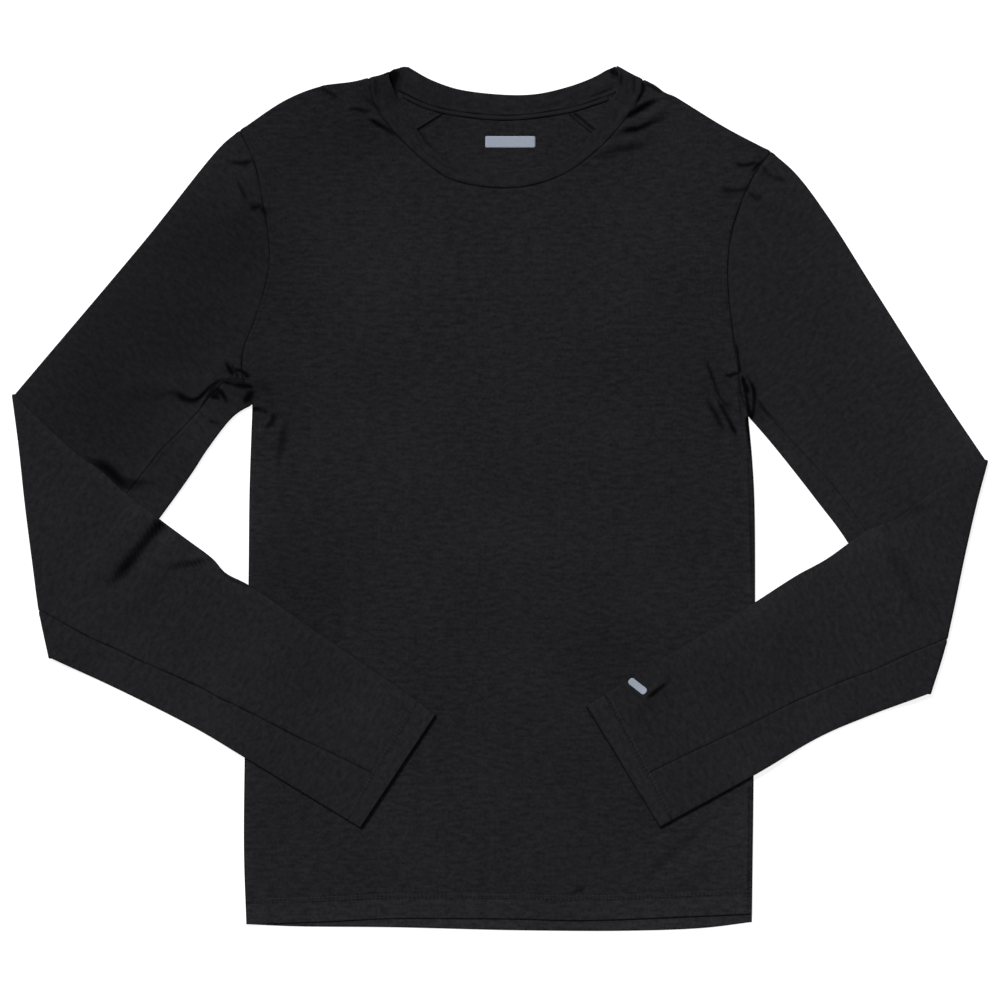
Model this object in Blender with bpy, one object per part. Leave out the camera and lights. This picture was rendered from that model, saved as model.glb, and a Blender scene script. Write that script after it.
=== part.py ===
# A long-sleeved crew-neck base layer top of fine knit, laid flat on its back.
# Both sleeves are folded at the elbow, so that the forearms lie over the front.
# Each piece is a sheet of cloth: a grid of points on its middle surface, with the wall to both sides of it.
# Left and right are as seen from above with the neck at the top. +Y points to the neck.
# Lengths are in millimetres until a mesh is made.

from collections import namedtuple

import bmesh
import bpy
import numpy as np
from mathutils import Matrix, Vector

MM = 0.001
UP = np.array((0.0, 0.0, 1.0))
SHARP_ANGLE = np.radians(50)

# The cloth and how its plies are stacked
WALL = 1.0  # thickness of one ply
PLY = 1.4  # height from the middle of one ply to the middle of the next
SEAM = 0.3  # gap between two pieces at a seam
LOW = WALL / 2  # middle of the ply that lies on the floor
HIGH = LOW + PLY  # middle of the ply on top of it
EDGE = (PLY + WALL) / 2  # from a folded edge in to the middle of its turn
TURN_HEIGHT = HIGH + PLY / 2  # height of the axis that a sleeve folds round
TURN_REACH = TURN_HEIGHT  # how far the folded elbow reaches past that axis
LIFT = 2 * PLY  # a forearm's height where it lies on two plies
DRAPE_START = 7.0  # a forearm leaves what it lies on this far past its edge
DRAPE_LENGTH = 38.0  # and comes down to the floor over this length

# Widths and places on the pieces
TAPE_WIDTH = 4.5
TAPE_START = 0.13  # the tape's two ends, as shares of the back neck seam
TAPE_END = 0.87
UNDER_SLEEVE_START = 0.92  # the sleeve seams at the armhole, from the outer edge (0) to the inner (1)
SHOULDER_SEAM_STEP = 3  # the shoulder seam meets the armhole at this armhole point
SEAM_END_GAP = 0.25  # how far each side of a shoulder seam is drawn back along its ends

# How finely the sheets are divided
SIDE_STEPS = 9
SHOULDER_STEPS = 7
NECK_STEPS = 20
BACK_NECK_STEPS = 10
OVER_STEPS = 8
UNDER_STEPS = 2
EDGE_STEPS = 4
ELBOW_STEPS = 5
UPPER_STEPS = 11
FOREARM_STEPS = 14
BAND_ROWS = 2
TAPE_STEPS = 14
SIDE_FADE = 5  # how fast a side's bends fade towards the middle of a panel
SPAN_STEPS = 24  # steps on a smooth curve between two rows of its table
NEAR = 0.02  # a small share of a curve, for its direction at an end

KNIT = (0.0145, 0.0145, 0.0160, 1.0)
TAPE = (0.0190, 0.0190, 0.0210, 1.0)


def table(columns, *rows):
    row = namedtuple("Row", columns)
    return [row(*values) for values in rows]


# Outlines, from the places where the cut pieces change direction
LEFT_SIDE = table(
    "x y",
    (-207.5, -349.4),
    (-209.5, -287.8),
    (-208.0, -165.6),
    (-205.8, -71.3),
    (-204.9, 6.0),
    (-202.5, 76.7),
)
RIGHT_SIDE = table(
    "x y",
    (206.9, -340.7),
    (208.3, -226.3),
    (209.5, -85.3),
    (208.9, -1.0),
    (206.9, 34.0),
    (203.8, 67.2),
)
FRONT_HEM = table(
    "x y",
    (-207.5, -349.4),
    (-150.7, -349.0),
    (-103.7, -344.6),
    (16.8, -344.8),
    (62.5, -346.0),
    (206.9, -340.7),
)
BACK_HEM = table(
    "x y",
    (-207.5, -349.4),
    (-167.9, -351.1),
    (-88.1, -351.9),
    (16.8, -354.4),
    (109.5, -354.7),
    (167.7, -352.4),
    (206.9, -347.6),
)
LEFT_SHOULDER = table(
    "x y", (-213.0, 301.3), (-174.2, 326.8), (-145.9, 337.6), (-120.1, 340.4), (-107.0, 343.4)
)
RIGHT_SHOULDER = table(
    "x y", (117.5, 342.8), (143.4, 329.8), (157.0, 321.2), (186.0, 303.3), (222.6, 284.0)
)
LEFT_ARMHOLE = table(
    "x y",
    (-213.0, 301.3),
    (-201.3, 276.3),
    (-193.7, 241.1),
    (-188.7, 209.1),
    (-189.5, 184.1),
    (-200.5, 145.6),
    (-210.3, 118.9),
    (-209.8, 98.0),
    (-202.5, 76.7),
)
RIGHT_ARMHOLE = table(
    "x y",
    (222.6, 284.0),
    (207.7, 263.2),
    (194.5, 232.2),
    (188.8, 209.7),
    (187.0, 183.3),
    (188.8, 156.9),
    (195.6, 102.5),
    (198.3, 83.5),
    (203.8, 67.2),
)
FRONT_NECK_SEAM = table(
    "x y",
    (-107.0, 343.4),
    (-104.5, 327.0),
    (-90.2, 304.2),
    (-57.8, 272.6),
    (-38.3, 260.6),
    (7.1, 254.0),
    (47.6, 262.9),
    (79.9, 284.8),
    (101.1, 307.5),
    (114.1, 325.5),
    (117.5, 342.8),
)
FRONT_NECK_EDGE = table(
    "x y",
    (-89.5, 350.0),
    (-85.2, 331.0),
    (-66.8, 300.7),
    (-57.8, 288.0),
    (-36.7, 275.0),
    (7.1, 268.6),
    (55.8, 278.3),
    (76.7, 300.1),
    (91.4, 323.9),
    (98.5, 340.0),
    (97.6, 353.8),
)
BACK_NECK_SEAM = table(
    "x y",
    (-107.0, 343.4),
    (-84.0, 334.6),
    (-61.1, 323.9),
    (-39.9, 318.2),
    (7.0, 313.8),
    (55.8, 319.8),
    (75.8, 325.5),
    (94.7, 332.6),
    (117.5, 342.8),
)
BACK_NECK_EDGE = table(
    "x y",
    (-89.5, 350.0),
    (-76.8, 352.6),
    (-54.5, 341.5),
    (-33.5, 334.6),
    (7.1, 330.1),
    (31.4, 331.0),
    (55.8, 336.7),
    (79.9, 345.4),
    (97.6, 353.8),
)
# Shares of the back neck seam, and of the band's free edge, where the two shoulder seams meet the neck
NECK_MEETINGS = table("side seam edge", ("left", 0.300, 0.300), ("right", 0.722, 0.770))
NECK_MEETINGS = {row.side: row for row in NECK_MEETINGS}
PEAK_SHARE = 0.066  # the share of the free edge where it is highest on the left

SLEEVES = {
    "left": {
        "armhole": LEFT_ARMHOLE,
        "outer": table("x y", (-213.0, 301.3), (-228.4, 288.6), (-291.5, 211.6), (-400.4, 84.4)),
        "inner": table(
            "x y",
            (-202.5, 76.7),
            (-217.7, 67.2),
            (-239.0, 40.9),
            (-251.7, 21.6),
            (-276.3, -12.4),
            (-368.6, -131.4),
        ),
        "fold": table(
            "x y",
            (-400.4, 84.4),
            (-394.9, 45.0),
            (-388.9, -6.7),
            (-381.9, -58.2),
            (-377.0, -92.5),
            (-368.6, -131.4),
        ),
        "upper": table(
            "x y",
            (-400.4, 84.4),
            (-337.4, 31.2),
            (-306.3, 9.0),
            (-272.9, -21.0),
            (-252.8, -36.0),
            (-233.5, -50.6),
            (-224.0, -61.2),
            (-205.4, -71.0),
            (-141.4, -114.8),
            (-66.8, -166.1),
            (-52.2, -177.6),
        ),
        "lower": table(
            "x y",
            (-368.6, -131.4),
            (-299.7, -163.5),
            (-245.0, -191.4),
            (-208.7, -212.7),
            (-113.9, -270.0),
        ),
    },
    "right": {
        "armhole": RIGHT_ARMHOLE,
        "outer": table(
            "x y",
            (222.6, 284.0),
            (243.2, 265.8),
            (271.0, 229.2),
            (309.4, 169.4),
            (364.0, 85.0),
            (401.2, 30.4),
        ),
        "inner": table(
            "x y", (203.8, 67.2), (223.9, 44.2), (260.9, -2.3), (287.2, -37.8), (352.6, -160.6)
        ),
        "fold": table(
            "x y",
            (401.2, 30.4),
            (391.7, -4.1),
            (380.9, -49.9),
            (371.0, -95.9),
            (363.6, -126.4),
            (352.6, -160.6),
        ),
        "upper": table(
            "x y",
            (401.2, 30.4),
            (357.1, 6.1),
            (325.1, -17.1),
            (301.9, -25.9),
            (266.2, -50.6),
            (241.8, -64.2),
            (192.3, -95.9),
            (126.7, -135.3),
            (70.4, -170.6),
        ),
        "lower": table(
            "x y", (352.6, -160.6), (302.2, -179.3), (265.6, -194.7), (207.9, -227.6), (130.9, -269.8)
        ),
    },
}

# Where the two sleeve seams run, from the outer edge (0) to the inner edge (1).
# Along a sleeve, the armhole is at 0, the elbow at 1 and the cuff at 2.
SEAM_RUN = table(
    "along left_front left_back right_front right_back",
    (0.00, UNDER_SLEEVE_START, UNDER_SLEEVE_START, UNDER_SLEEVE_START, UNDER_SLEEVE_START),
    (0.07, 0.872, 0.915, 0.891, 0.910),
    (0.20, 0.861, 0.905, 0.876, 0.900),
    (0.40, 0.802, 0.880, 0.848, 0.875),
    (1.00, 0.780, 0.820, 0.810, 0.765),
    (1.15, 0.790, 0.819, 0.820, 0.763),
    (1.30, 0.800, 0.798, 0.830, 0.757),
    (1.50, 0.820, 0.748, 0.845, 0.711),
    (1.75, 0.850, 0.688, 0.860, 0.668),
    (2.00, 0.880, 0.602, 0.880, 0.623),
)

# Soft folds, each a ridge along a line
BODY_FOLDS = table(
    "name x0 y0 x1 y1 width rise",
    ("left neck turn", -104, 341, -90, 345, 11, 1.6),
    ("right neck turn", 100, 346, 115, 340, 9, 0.8),
    ("right of neck, upper", 101, 303, 134, 319, 5, 1.8),
    ("right of neck, lower", 86, 286, 122, 300, 7, 1.0),
    ("left of neck", -124, 312, -94, 300, 8, 1.0),
    ("left underarm", -224, 110, -204, 95, 9, 2.6),
    ("left armhole", -215, 232, -205, 262, 9, 1.0),
    ("left sleeve", -300, 92, -245, 92, 9, 1.6),
    ("right underarm", 195, 104, 207, 72, 8, 2.2),
    ("right chest", 172, 100, 184, 78, 7, 1.2),
    ("right shoulder", 205, 255, 240, 232, 9, 1.2),
    ("right sleeve", 262, 110, 318, 60, 12, 1.4),
    ("chest", -70, 150, 60, 120, 42, 1.2),
    ("waist", -60, -40, 70, -60, 22, 0.9),
    ("lower right", 136, -318, 172, -292, 9, 1.2),
    ("lower left", -150, -312, -120, -325, 9, 0.9),
)
FOREARM_FOLDS = table(
    "name x0 y0 x1 y1 width rise",
    ("left elbow, outer", -296, -16, -336, -64, 9, 2.4),
    ("left elbow, inner", -264, -38, -302, -88, 9, 2.0),
    ("left forearm", -190, -128, -150, -150, 14, 1.2),
    ("right elbow, outer", 322, -34, 342, -72, 16, 2.4),
    ("right elbow, inner", 292, -52, 306, -98, 13, 1.8),
    ("right forearm", 190, -130, 222, -150, 14, 1.2),
    ("right wrist", 112, -172, 128, -156, 7, 1.0),
)


def rise_at(points, folds):
    points = np.asarray(points, float)
    total = np.zeros(points.shape[:-1])
    for fold in folds:
        start = np.array((fold.x0, fold.y0), float)
        along = np.array((fold.x1, fold.y1), float) - start
        share = np.clip((points - start) @ along / (along @ along), 0, 1)
        away = np.linalg.norm(points - start - share[..., None] * along, axis=-1)
        total += fold.rise * np.exp(-((away / fold.width) ** 2))
    return total


def curve(rows):
    """A function of 0 to 1 that runs through the rows at an even speed."""
    knots = np.array([(row.x, row.y) for row in rows], float)
    before = 2 * knots[0] - knots[1]
    after = 2 * knots[-1] - knots[-2]
    padded = np.vstack([before, knots, after])
    spacing = np.sqrt(np.linalg.norm(np.diff(padded, axis=0), axis=1))
    times = np.concatenate([[0], np.cumsum(spacing)])
    dense = []
    for span in range(1, len(padded) - 2):
        time = np.linspace(times[span], times[span + 1], SPAN_STEPS, endpoint=False)[:, None]
        dense.append(between_knots(padded[span - 1 : span + 3], times[span - 1 : span + 3], time))
    dense = np.vstack(dense + [knots[-1:]])
    reach = np.concatenate([[0], np.cumsum(np.linalg.norm(np.diff(dense, axis=0), axis=1))])

    def at(share):
        distance = np.asarray(share, float) * reach[-1]
        return np.stack([np.interp(distance, reach, dense[:, axis]) for axis in (0, 1)], axis=-1)

    at.length = reach[-1]
    return at


def between_knots(knots, times, time):
    """A centripetal Catmull-Rom span between the middle two of four knots."""
    level = list(knots)
    for order in (1, 2):
        raised = []
        for index in range(len(level) - 1):
            start, end = times[index], times[index + order]
            share = (time - start) / (end - start)
            raised.append((1 - share) * level[index] + share * level[index + 1])
        level = raised
    share = (time - times[1]) / (times[2] - times[1])
    return (1 - share) * level[0] + share * level[1]


def trimmed(path, start, end):
    """The stretch of a curve that leaves off a length at each end."""
    low = start / path.length
    high = 1 - end / path.length

    def at(share):
        return path(low + (high - low) * np.asarray(share, float))

    at.length = path.length - start - end
    return at


def drawn_back(path, distance):
    """The same curve, but with its very end a little short of where it was."""

    def at(share):
        return path(np.minimum(share, 1 - distance / path.length))

    at.length = path.length
    return at


def beside(path, distance):
    """The curve moved sideways, to the left of its direction where distance is positive."""
    step = 1.0 / path.length

    def at(share):
        share = np.asarray(share, float)
        ahead = path(np.minimum(share + step, 1)) - path(np.maximum(share - step, 0))
        ahead = unit(ahead)
        return path(share) + distance * np.stack([-ahead[..., 1], ahead[..., 0]], axis=-1)

    at.length = path.length
    return at


def unit(vectors):
    return vectors / np.linalg.norm(vectors, axis=-1, keepdims=True)


def even(steps, start=0.0, end=1.0):
    return np.linspace(start, end, steps + 1)


def shares(points):
    lengths = np.linalg.norm(np.diff(points, axis=0), axis=1)
    return np.concatenate([[0], np.cumsum(lengths)]) / lengths.sum()


def fill(bottom, top, left, right):
    """A grid of plan points between four rows of points, rows running from bottom to top.

    A side's own bends reach only a little way in from it, so that they don't push the middle about.
    """
    across = ((shares(bottom) + shares(top)) / 2)[None, :, None]
    up = ((shares(left) + shares(right)) / 2)[:, None, None]
    ruled = (1 - up) * bottom[None] + up * top[None]
    left_bend = left[:, None] - ruled[:, :1]
    right_bend = right[:, None] - ruled[:, -1:]
    return ruled + (1 - across) ** SIDE_FADE * left_bend + across**SIDE_FADE * right_bend


def hem_shares(top):
    """Where the columns meet the hem: between even steps along the top and the places right below it."""
    below = (top[:, 0] - top[0, 0]) / (top[-1, 0] - top[0, 0])
    return (shares(top) + below) / 2


def surface(start, end, near, far):
    """The same filling between four curves, as a function of across and along."""

    def at(across, along):
        across = np.asarray(across, float)[..., None]
        along = np.asarray(along, float)[..., None]
        flat_across, flat_along = across[..., 0], along[..., 0]
        ruled_along = (1 - along) * start(flat_across) + along * end(flat_across)
        ruled_across = (1 - across) * near(flat_along) + across * far(flat_along)
        corners = (1 - along) * ((1 - across) * start(0) + across * start(1))
        corners = corners + along * ((1 - across) * end(0) + across * end(1))
        return ruled_along + ruled_across - corners

    return at


def line(start, end):
    start, end = np.asarray(start, float), np.asarray(end, float)

    def at(share):
        share = np.asarray(share, float)[..., None]
        return (1 - share) * start + share * end

    at.length = np.linalg.norm(end - start)
    return at


def at_height(plan, height):
    height = np.broadcast_to(height, plan.shape[:-1])
    return np.concatenate([plan, height[..., None]], axis=-1)


class Sheet:
    """Grids of points that share their common edges, each point with the way out of the cloth there."""

    def __init__(self):
        self.index = {}
        self.points = []
        self.outward = []
        self.faces = []

    def vertex(self, point, outward):
        key = tuple(np.round(point, 4))
        if key not in self.index:
            self.index[key] = len(self.points)
            self.points.append(point)
            self.outward.append(outward)
        return self.index[key]

    def add(self, grid, outward):
        """Adds a grid of points. The way out is one vector, or one for each point."""
        outward = np.broadcast_to(outward, grid.shape)
        numbers = [[self.vertex(*pair) for pair in zip(*rows)] for rows in zip(grid, outward)]
        for lower, upper in zip(numbers, numbers[1:]):
            for column in range(len(lower) - 1):
                self.faces.append((lower[column], lower[column + 1], upper[column + 1], upper[column]))

    def build(self, name, colour, wall=WALL):
        """Makes the outer skin, extrudes it, and moves the copy in by the wall."""
        half_wall = np.array(self.outward) * wall / 2
        form = bmesh.new()
        number = form.verts.layers.int.new("number")
        for index, point in enumerate(np.array(self.points) + half_wall):
            form.verts.new(point * MM)[number] = index
        form.verts.ensure_lookup_table()
        for face in self.faces:
            form.faces.new([form.verts[index] for index in face])
        copied = bmesh.ops.extrude_face_region(form, geom=form.faces[:], use_keep_orig=True)
        for item in copied["geom"]:
            if isinstance(item, bmesh.types.BMVert):
                item.co -= Vector(2 * half_wall[item[number]]) * MM
        bmesh.ops.recalc_face_normals(form, faces=form.faces[:])
        if form.calc_volume(signed=True) < 0:
            bmesh.ops.reverse_faces(form, faces=form.faces[:])
        mesh = bpy.data.meshes.new(name)
        form.to_mesh(mesh)
        form.free()
        mesh.shade_smooth()
        mesh.set_sharp_from_angle(angle=SHARP_ANGLE)
        mesh.materials.append(cloth(name, colour))
        piece = bpy.data.objects.new(name, mesh)
        bpy.context.collection.objects.link(piece)
        return piece


def cloth(name, colour):
    material = bpy.data.materials.new(name + "_knit")
    material.use_nodes = True
    shader = material.node_tree.nodes["Principled BSDF"]
    shader.inputs["Base Color"].default_value = colour
    shader.inputs["Roughness"].default_value = 0.9
    shader.inputs["Metallic"].default_value = 0.0
    return material


def armhole_shares():
    """Shares of the armhole, from the shoulder (0) to the underarm (1), that all its pieces use."""
    over = even(OVER_STEPS, 0, UNDER_SLEEVE_START)
    under = even(UNDER_STEPS, UNDER_SLEEVE_START, 1)
    return np.concatenate([over, under[1:]])


def armhole(side, inward):
    """The armhole without its turned end, moved towards the body by the given distance."""
    path = curve(SLEEVES[side]["armhole"])
    toward = inward if side == "left" else -inward
    return beside(trimmed(path, EDGE, 0), toward)


def back_neck(moved):
    """The back neck seam without its turned ends, moved to the band's side where positive."""
    return beside(trimmed(curve(BACK_NECK_SEAM), EDGE, EDGE), moved)


def front_neck_points(moved):
    """Points on the front neck seam, moved to the band's side where positive.

    The two end points are also moved up or down, to keep the gap where the seam turns to the back.
    """
    points = beside(trimmed(curve(FRONT_NECK_SEAM), EDGE, EDGE), moved)(even(NECK_STEPS))
    points[[0, -1], 1] += np.sign(moved) * SEAM / 3
    return points


def turn(edge, outward, top_height):
    """Rows that carry an edge round from the upper ply to the lower ply, and the way out at each point."""
    rows, ways = [], []
    radius = (top_height - LOW) / 2
    for angle in even(EDGE_STEPS, 0, np.pi):
        reach = (radius * np.sin(angle))[:, None]
        rows.append(at_height(edge + reach * outward, LOW + radius + radius * np.cos(angle)))
        ways.append(at_height(np.sin(angle) * outward, np.cos(angle)))
    return np.array(rows), np.array(ways)


def shoulder_edge(side):
    """The front's folded shoulder edge from left to right, and the way out at each of its points."""
    folded = beside(curve(LEFT_SHOULDER if side == "left" else RIGHT_SHOULDER), -EDGE)(even(SHOULDER_STEPS))
    neck = front_neck_points(-SEAM / 2)
    arm = armhole(side, SEAM / 2)
    arm_out = unit(arm(0) - arm(NEAR))
    share = even(SHOULDER_STEPS)[:, None]
    if side == "left":
        folded[0], folded[-1] = arm(0), neck[0]
        return folded, unit((1 - share) * arm_out + share * unit(neck[0] - neck[1]))
    folded[0], folded[-1] = neck[-1], arm(0)
    return folded, unit((1 - share) * unit(neck[-1] - neck[-2]) + share * arm_out)


def shoulder_seam(side, toward_neck):
    """The shoulder seam on the lower ply, from the armhole to the neck.

    It lies a small way up from the true seam for the front, and down from it for the back.
    """
    arm = armhole(side, SEAM / 2)
    neck = back_neck(-SEAM / 2)
    arm_share = armhole_shares()[SHOULDER_SEAM_STEP]
    neck_share = NECK_MEETINGS[side].seam
    away = -SEAM_END_GAP if toward_neck else SEAM_END_GAP
    outward = away if side == "left" else -away
    start = arm(arm_share + away / arm.length)
    end = neck(neck_share + outward / neck.length)
    return line(start, end)(even(SHOULDER_STEPS))


def neck_stretch(side, neck, gap):
    """Points on the back neck seam from the shoulder turn to the shoulder seam, left to right."""
    share = NECK_MEETINGS[side].seam
    if side == "left":
        return neck(even(SHOULDER_SEAM_STEP, 0, share - gap / neck.length))
    return neck(even(SHOULDER_SEAM_STEP, share + gap / neck.length, 1))


def panel_side(side, arm_shares):
    """A panel's edge from the hem up the side seam and on along the armhole."""
    seam = curve(LEFT_SIDE if side == "left" else RIGHT_SIDE)(even(SIDE_STEPS))
    arm = armhole(side, SEAM / 2)(arm_shares[::-1])
    return np.vstack([seam[:-1], arm])


def front_panel():
    sheet = Sheet()
    arm_shares = armhole_shares()
    left_side, right_side = (panel_side(side, arm_shares) for side in ("left", "right"))
    left_edge, left_out = shoulder_edge("left")
    right_edge, right_out = shoulder_edge("right")
    neckline = front_neck_points(-SEAM / 2)
    top = np.vstack([left_edge[:-1], neckline, right_edge[1:]])
    hem = curve(FRONT_HEM)(hem_shares(top))
    plan = fill(hem, top, left_side, right_side)
    sheet.add(at_height(plan, HIGH + rise_at(plan, BODY_FOLDS)), UP)
    for side, edge, outward in (("left", left_edge, left_out), ("right", right_edge, right_out)):
        sheet.add(*turn(edge, outward, HIGH + rise_at(edge, BODY_FOLDS)))
        arm = armhole(side, SEAM / 2)(arm_shares[: SHOULDER_SEAM_STEP + 1])
        seam = shoulder_seam(side, toward_neck=True)
        arm[-1] = seam[0]
        neck = neck_stretch(side, back_neck(-SEAM / 2), SEAM_END_GAP)
        if side == "left":
            neck[0], neck[-1] = (edge[-1], seam[-1])
            under = fill(edge, seam, arm, neck)
        else:
            neck[-1], neck[0] = (edge[0], seam[-1])
            under = fill(edge, seam[::-1], neck[::-1], arm)
        sheet.add(at_height(under, LOW), -UP)
    return sheet.build("front", KNIT)


def back_panel():
    arm_shares = armhole_shares()[SHOULDER_SEAM_STEP:]
    left_side, right_side = (panel_side(side, arm_shares) for side in ("left", "right"))
    left_seam, right_seam = (shoulder_seam(side, toward_neck=False) for side in ("left", "right"))
    left_side[-1] = left_seam[0]
    right_side[-1] = right_seam[0]
    right_side[0] = (BACK_HEM[-1].x, BACK_HEM[-1].y)
    neck = back_neck(-SEAM / 2)
    neckline = neck(even(BACK_NECK_STEPS, NECK_MEETINGS["left"].seam, NECK_MEETINGS["right"].seam))
    neckline[0], neckline[-1] = (left_seam[-1], right_seam[-1])
    top = np.vstack([left_seam[:-1], neckline, right_seam[::-1][1:]])
    hem = curve(BACK_HEM)(hem_shares(top))
    plan = fill(hem, top, left_side, right_side)
    sheet = Sheet()
    sheet.add(at_height(plan, LOW), -UP)
    return sheet.build("back", KNIT)


def neck_band():
    """A ribbon ring: over the front in the upper ply, round both shoulders, and back in the lower ply."""
    seam_front = front_neck_points(SEAM / 2)
    edge_front = trimmed(curve(FRONT_NECK_EDGE), EDGE, EDGE)(even(NECK_STEPS))
    seam_back = back_neck(SEAM / 2)
    edge_back = trimmed(curve(BACK_NECK_EDGE), EDGE, EDGE)
    seam_points, edge_points = [], []
    for path, column, points in ((seam_back, "seam", seam_points), (edge_back, "edge", edge_points)):
        left = getattr(NECK_MEETINGS["left"], column)
        right = getattr(NECK_MEETINGS["right"], column)
        first = np.append(0, even(SHOULDER_SEAM_STEP - 1, PEAK_SHARE, left))
        points.append(path(first if column == "edge" else even(SHOULDER_SEAM_STEP, 0, left))[:-1])
        points.append(path(even(BACK_NECK_STEPS, left, right)))
        points.append(path(even(SHOULDER_SEAM_STEP, right, 1))[1:])
    seam_back, edge_back = np.vstack(seam_points), np.vstack(edge_points)
    seam_back[0], seam_back[-1] = (seam_front[0], seam_front[-1])
    edge_back[0], edge_back[-1] = (edge_front[0], edge_front[-1])
    width = even(BAND_ROWS)[:, None, None]
    front = (1 - width) * seam_front + width * edge_front
    back = (1 - width) * seam_back + width * edge_back
    heights = HIGH + rise_at(front, BODY_FOLDS)
    _, left_out = shoulder_edge("left")
    _, right_out = shoulder_edge("right")
    sheet = Sheet()
    sheet.add(at_height(front, heights), UP)
    for outward, column in ((left_out[-1:], 0), (right_out[:1], -1)):
        sheet.add(*turn(front[:, column], outward, heights[:, column]))
    sheet.add(at_height(back, LOW), -UP)
    return sheet.build("neckband", KNIT)


def neck_tape():
    """A narrow tape over the back neck seam, on the inside of the back."""
    upper = back_neck(0)(even(TAPE_STEPS, TAPE_START, TAPE_END))
    lower = back_neck(-TAPE_WIDTH)(even(TAPE_STEPS, TAPE_START, TAPE_END))
    sheet = Sheet()
    sheet.add(at_height(np.array([lower, upper]), LOW + WALL + SEAM), UP)
    return sheet.build("neck_tape", TAPE)


def support_height(side, plan):
    """How far a forearm is lifted: by two plies on the body and the upper sleeve, and not at all past them."""
    sign = -1 if side == "left" else 1
    body_edge = LEFT_SIDE[3].x if side == "left" else RIGHT_SIDE[2].x
    off_body = sign * (plan[..., 0] - body_edge)
    inner = SLEEVES[side]["inner"]
    start = np.array((inner[1].x, inner[1].y))
    along = unit(np.array((inner[-1].x, inner[-1].y)) - start)
    offset = plan - start
    off_sleeve = -sign * (along[0] * offset[..., 1] - along[1] * offset[..., 0])
    away = np.minimum(np.maximum(off_body, 0), np.maximum(off_sleeve, 0))
    share = np.clip((away - DRAPE_START) / DRAPE_LENGTH, 0, 1)
    return LIFT * (1 - share * share * (3 - 2 * share))


def seam_share(side, ply, place):
    """Where a sleeve seam runs at a place along the sleeve."""
    column = f"{side}_{ply}"
    places = [row.along for row in SEAM_RUN]
    return float(np.interp(place, places, [getattr(row, column) for row in SEAM_RUN]))


def sleeve_stations():
    """Each ring's place along the sleeve, and how far the elbow has turned there."""
    upper = [(place, 0.0) for place in even(UPPER_STEPS)]
    elbow = [(1.0, angle) for angle in even(ELBOW_STEPS, 0, np.pi)[1:-1]]
    forearm = [(1 + place, np.pi) for place in even(FOREARM_STEPS)]
    return upper + elbow + forearm


def sleeve_surfaces(side):
    """The plan of the upper sleeve and of the forearm, outer edge to inner edge and along."""
    rows = SLEEVES[side]
    sign = 1 if side == "left" else -1
    outer = beside(curve(rows["outer"]), sign * EDGE)
    inner = beside(curve(rows["inner"]), -sign * EDGE)
    upper = beside(curve(rows["upper"]), -sign * EDGE)
    lower = beside(curve(rows["lower"]), sign * EDGE)
    fold_start, fold_end = outer(1), inner(1)
    fold_way = unit(fold_end - fold_start)
    out = -sign * np.array((-fold_way[1], fold_way[0]))
    axis_start = fold_start - out * TURN_REACH
    axis_end = fold_end - out * TURN_REACH
    arm = drawn_back(armhole(side, -SEAM / 2), EDGE)
    axis = bent_to(curve(rows["fold"]), axis_start, axis_end)
    cuff = line(upper(1), lower(1))
    outer_in = bent_to(outer, arm(0), axis_start)
    inner_in = bent_to(inner, arm(1), axis_end)
    upper_in = bent_to(upper, axis_start, upper(1))
    lower_in = bent_to(lower, axis_end, lower(1))
    return surface(arm, axis, outer_in, inner_in), surface(axis, cuff, upper_in, lower_in), out


def bent_to(path, start, end):
    """The curve with its two ends drawn to the given points."""
    first = start - path(0)
    last = end - path(1)

    def at(share):
        share = np.asarray(share, float)
        return path(share) + (1 - share[..., None]) * first + share[..., None] * last

    at.length = path.length
    return at


def half_gap(side, ply, place, plan, along):
    """Half of a sleeve seam's gap as a share of the ring, which most seams cross at a slant."""
    before, after = max(along - NEAR, 0), min(along + NEAR, 1)
    start = plan(seam_share(side, ply, place + before - along), before)
    end = plan(seam_share(side, ply, place + after - along), after)
    seam_way = unit(end - start)
    share = seam_share(side, ply, place)
    ring = (plan(share + NEAR, along) - plan(share - NEAR, along)) / (2 * NEAR)
    return SEAM / 2 / abs(seam_way[0] * ring[1] - seam_way[1] * ring[0])


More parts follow.
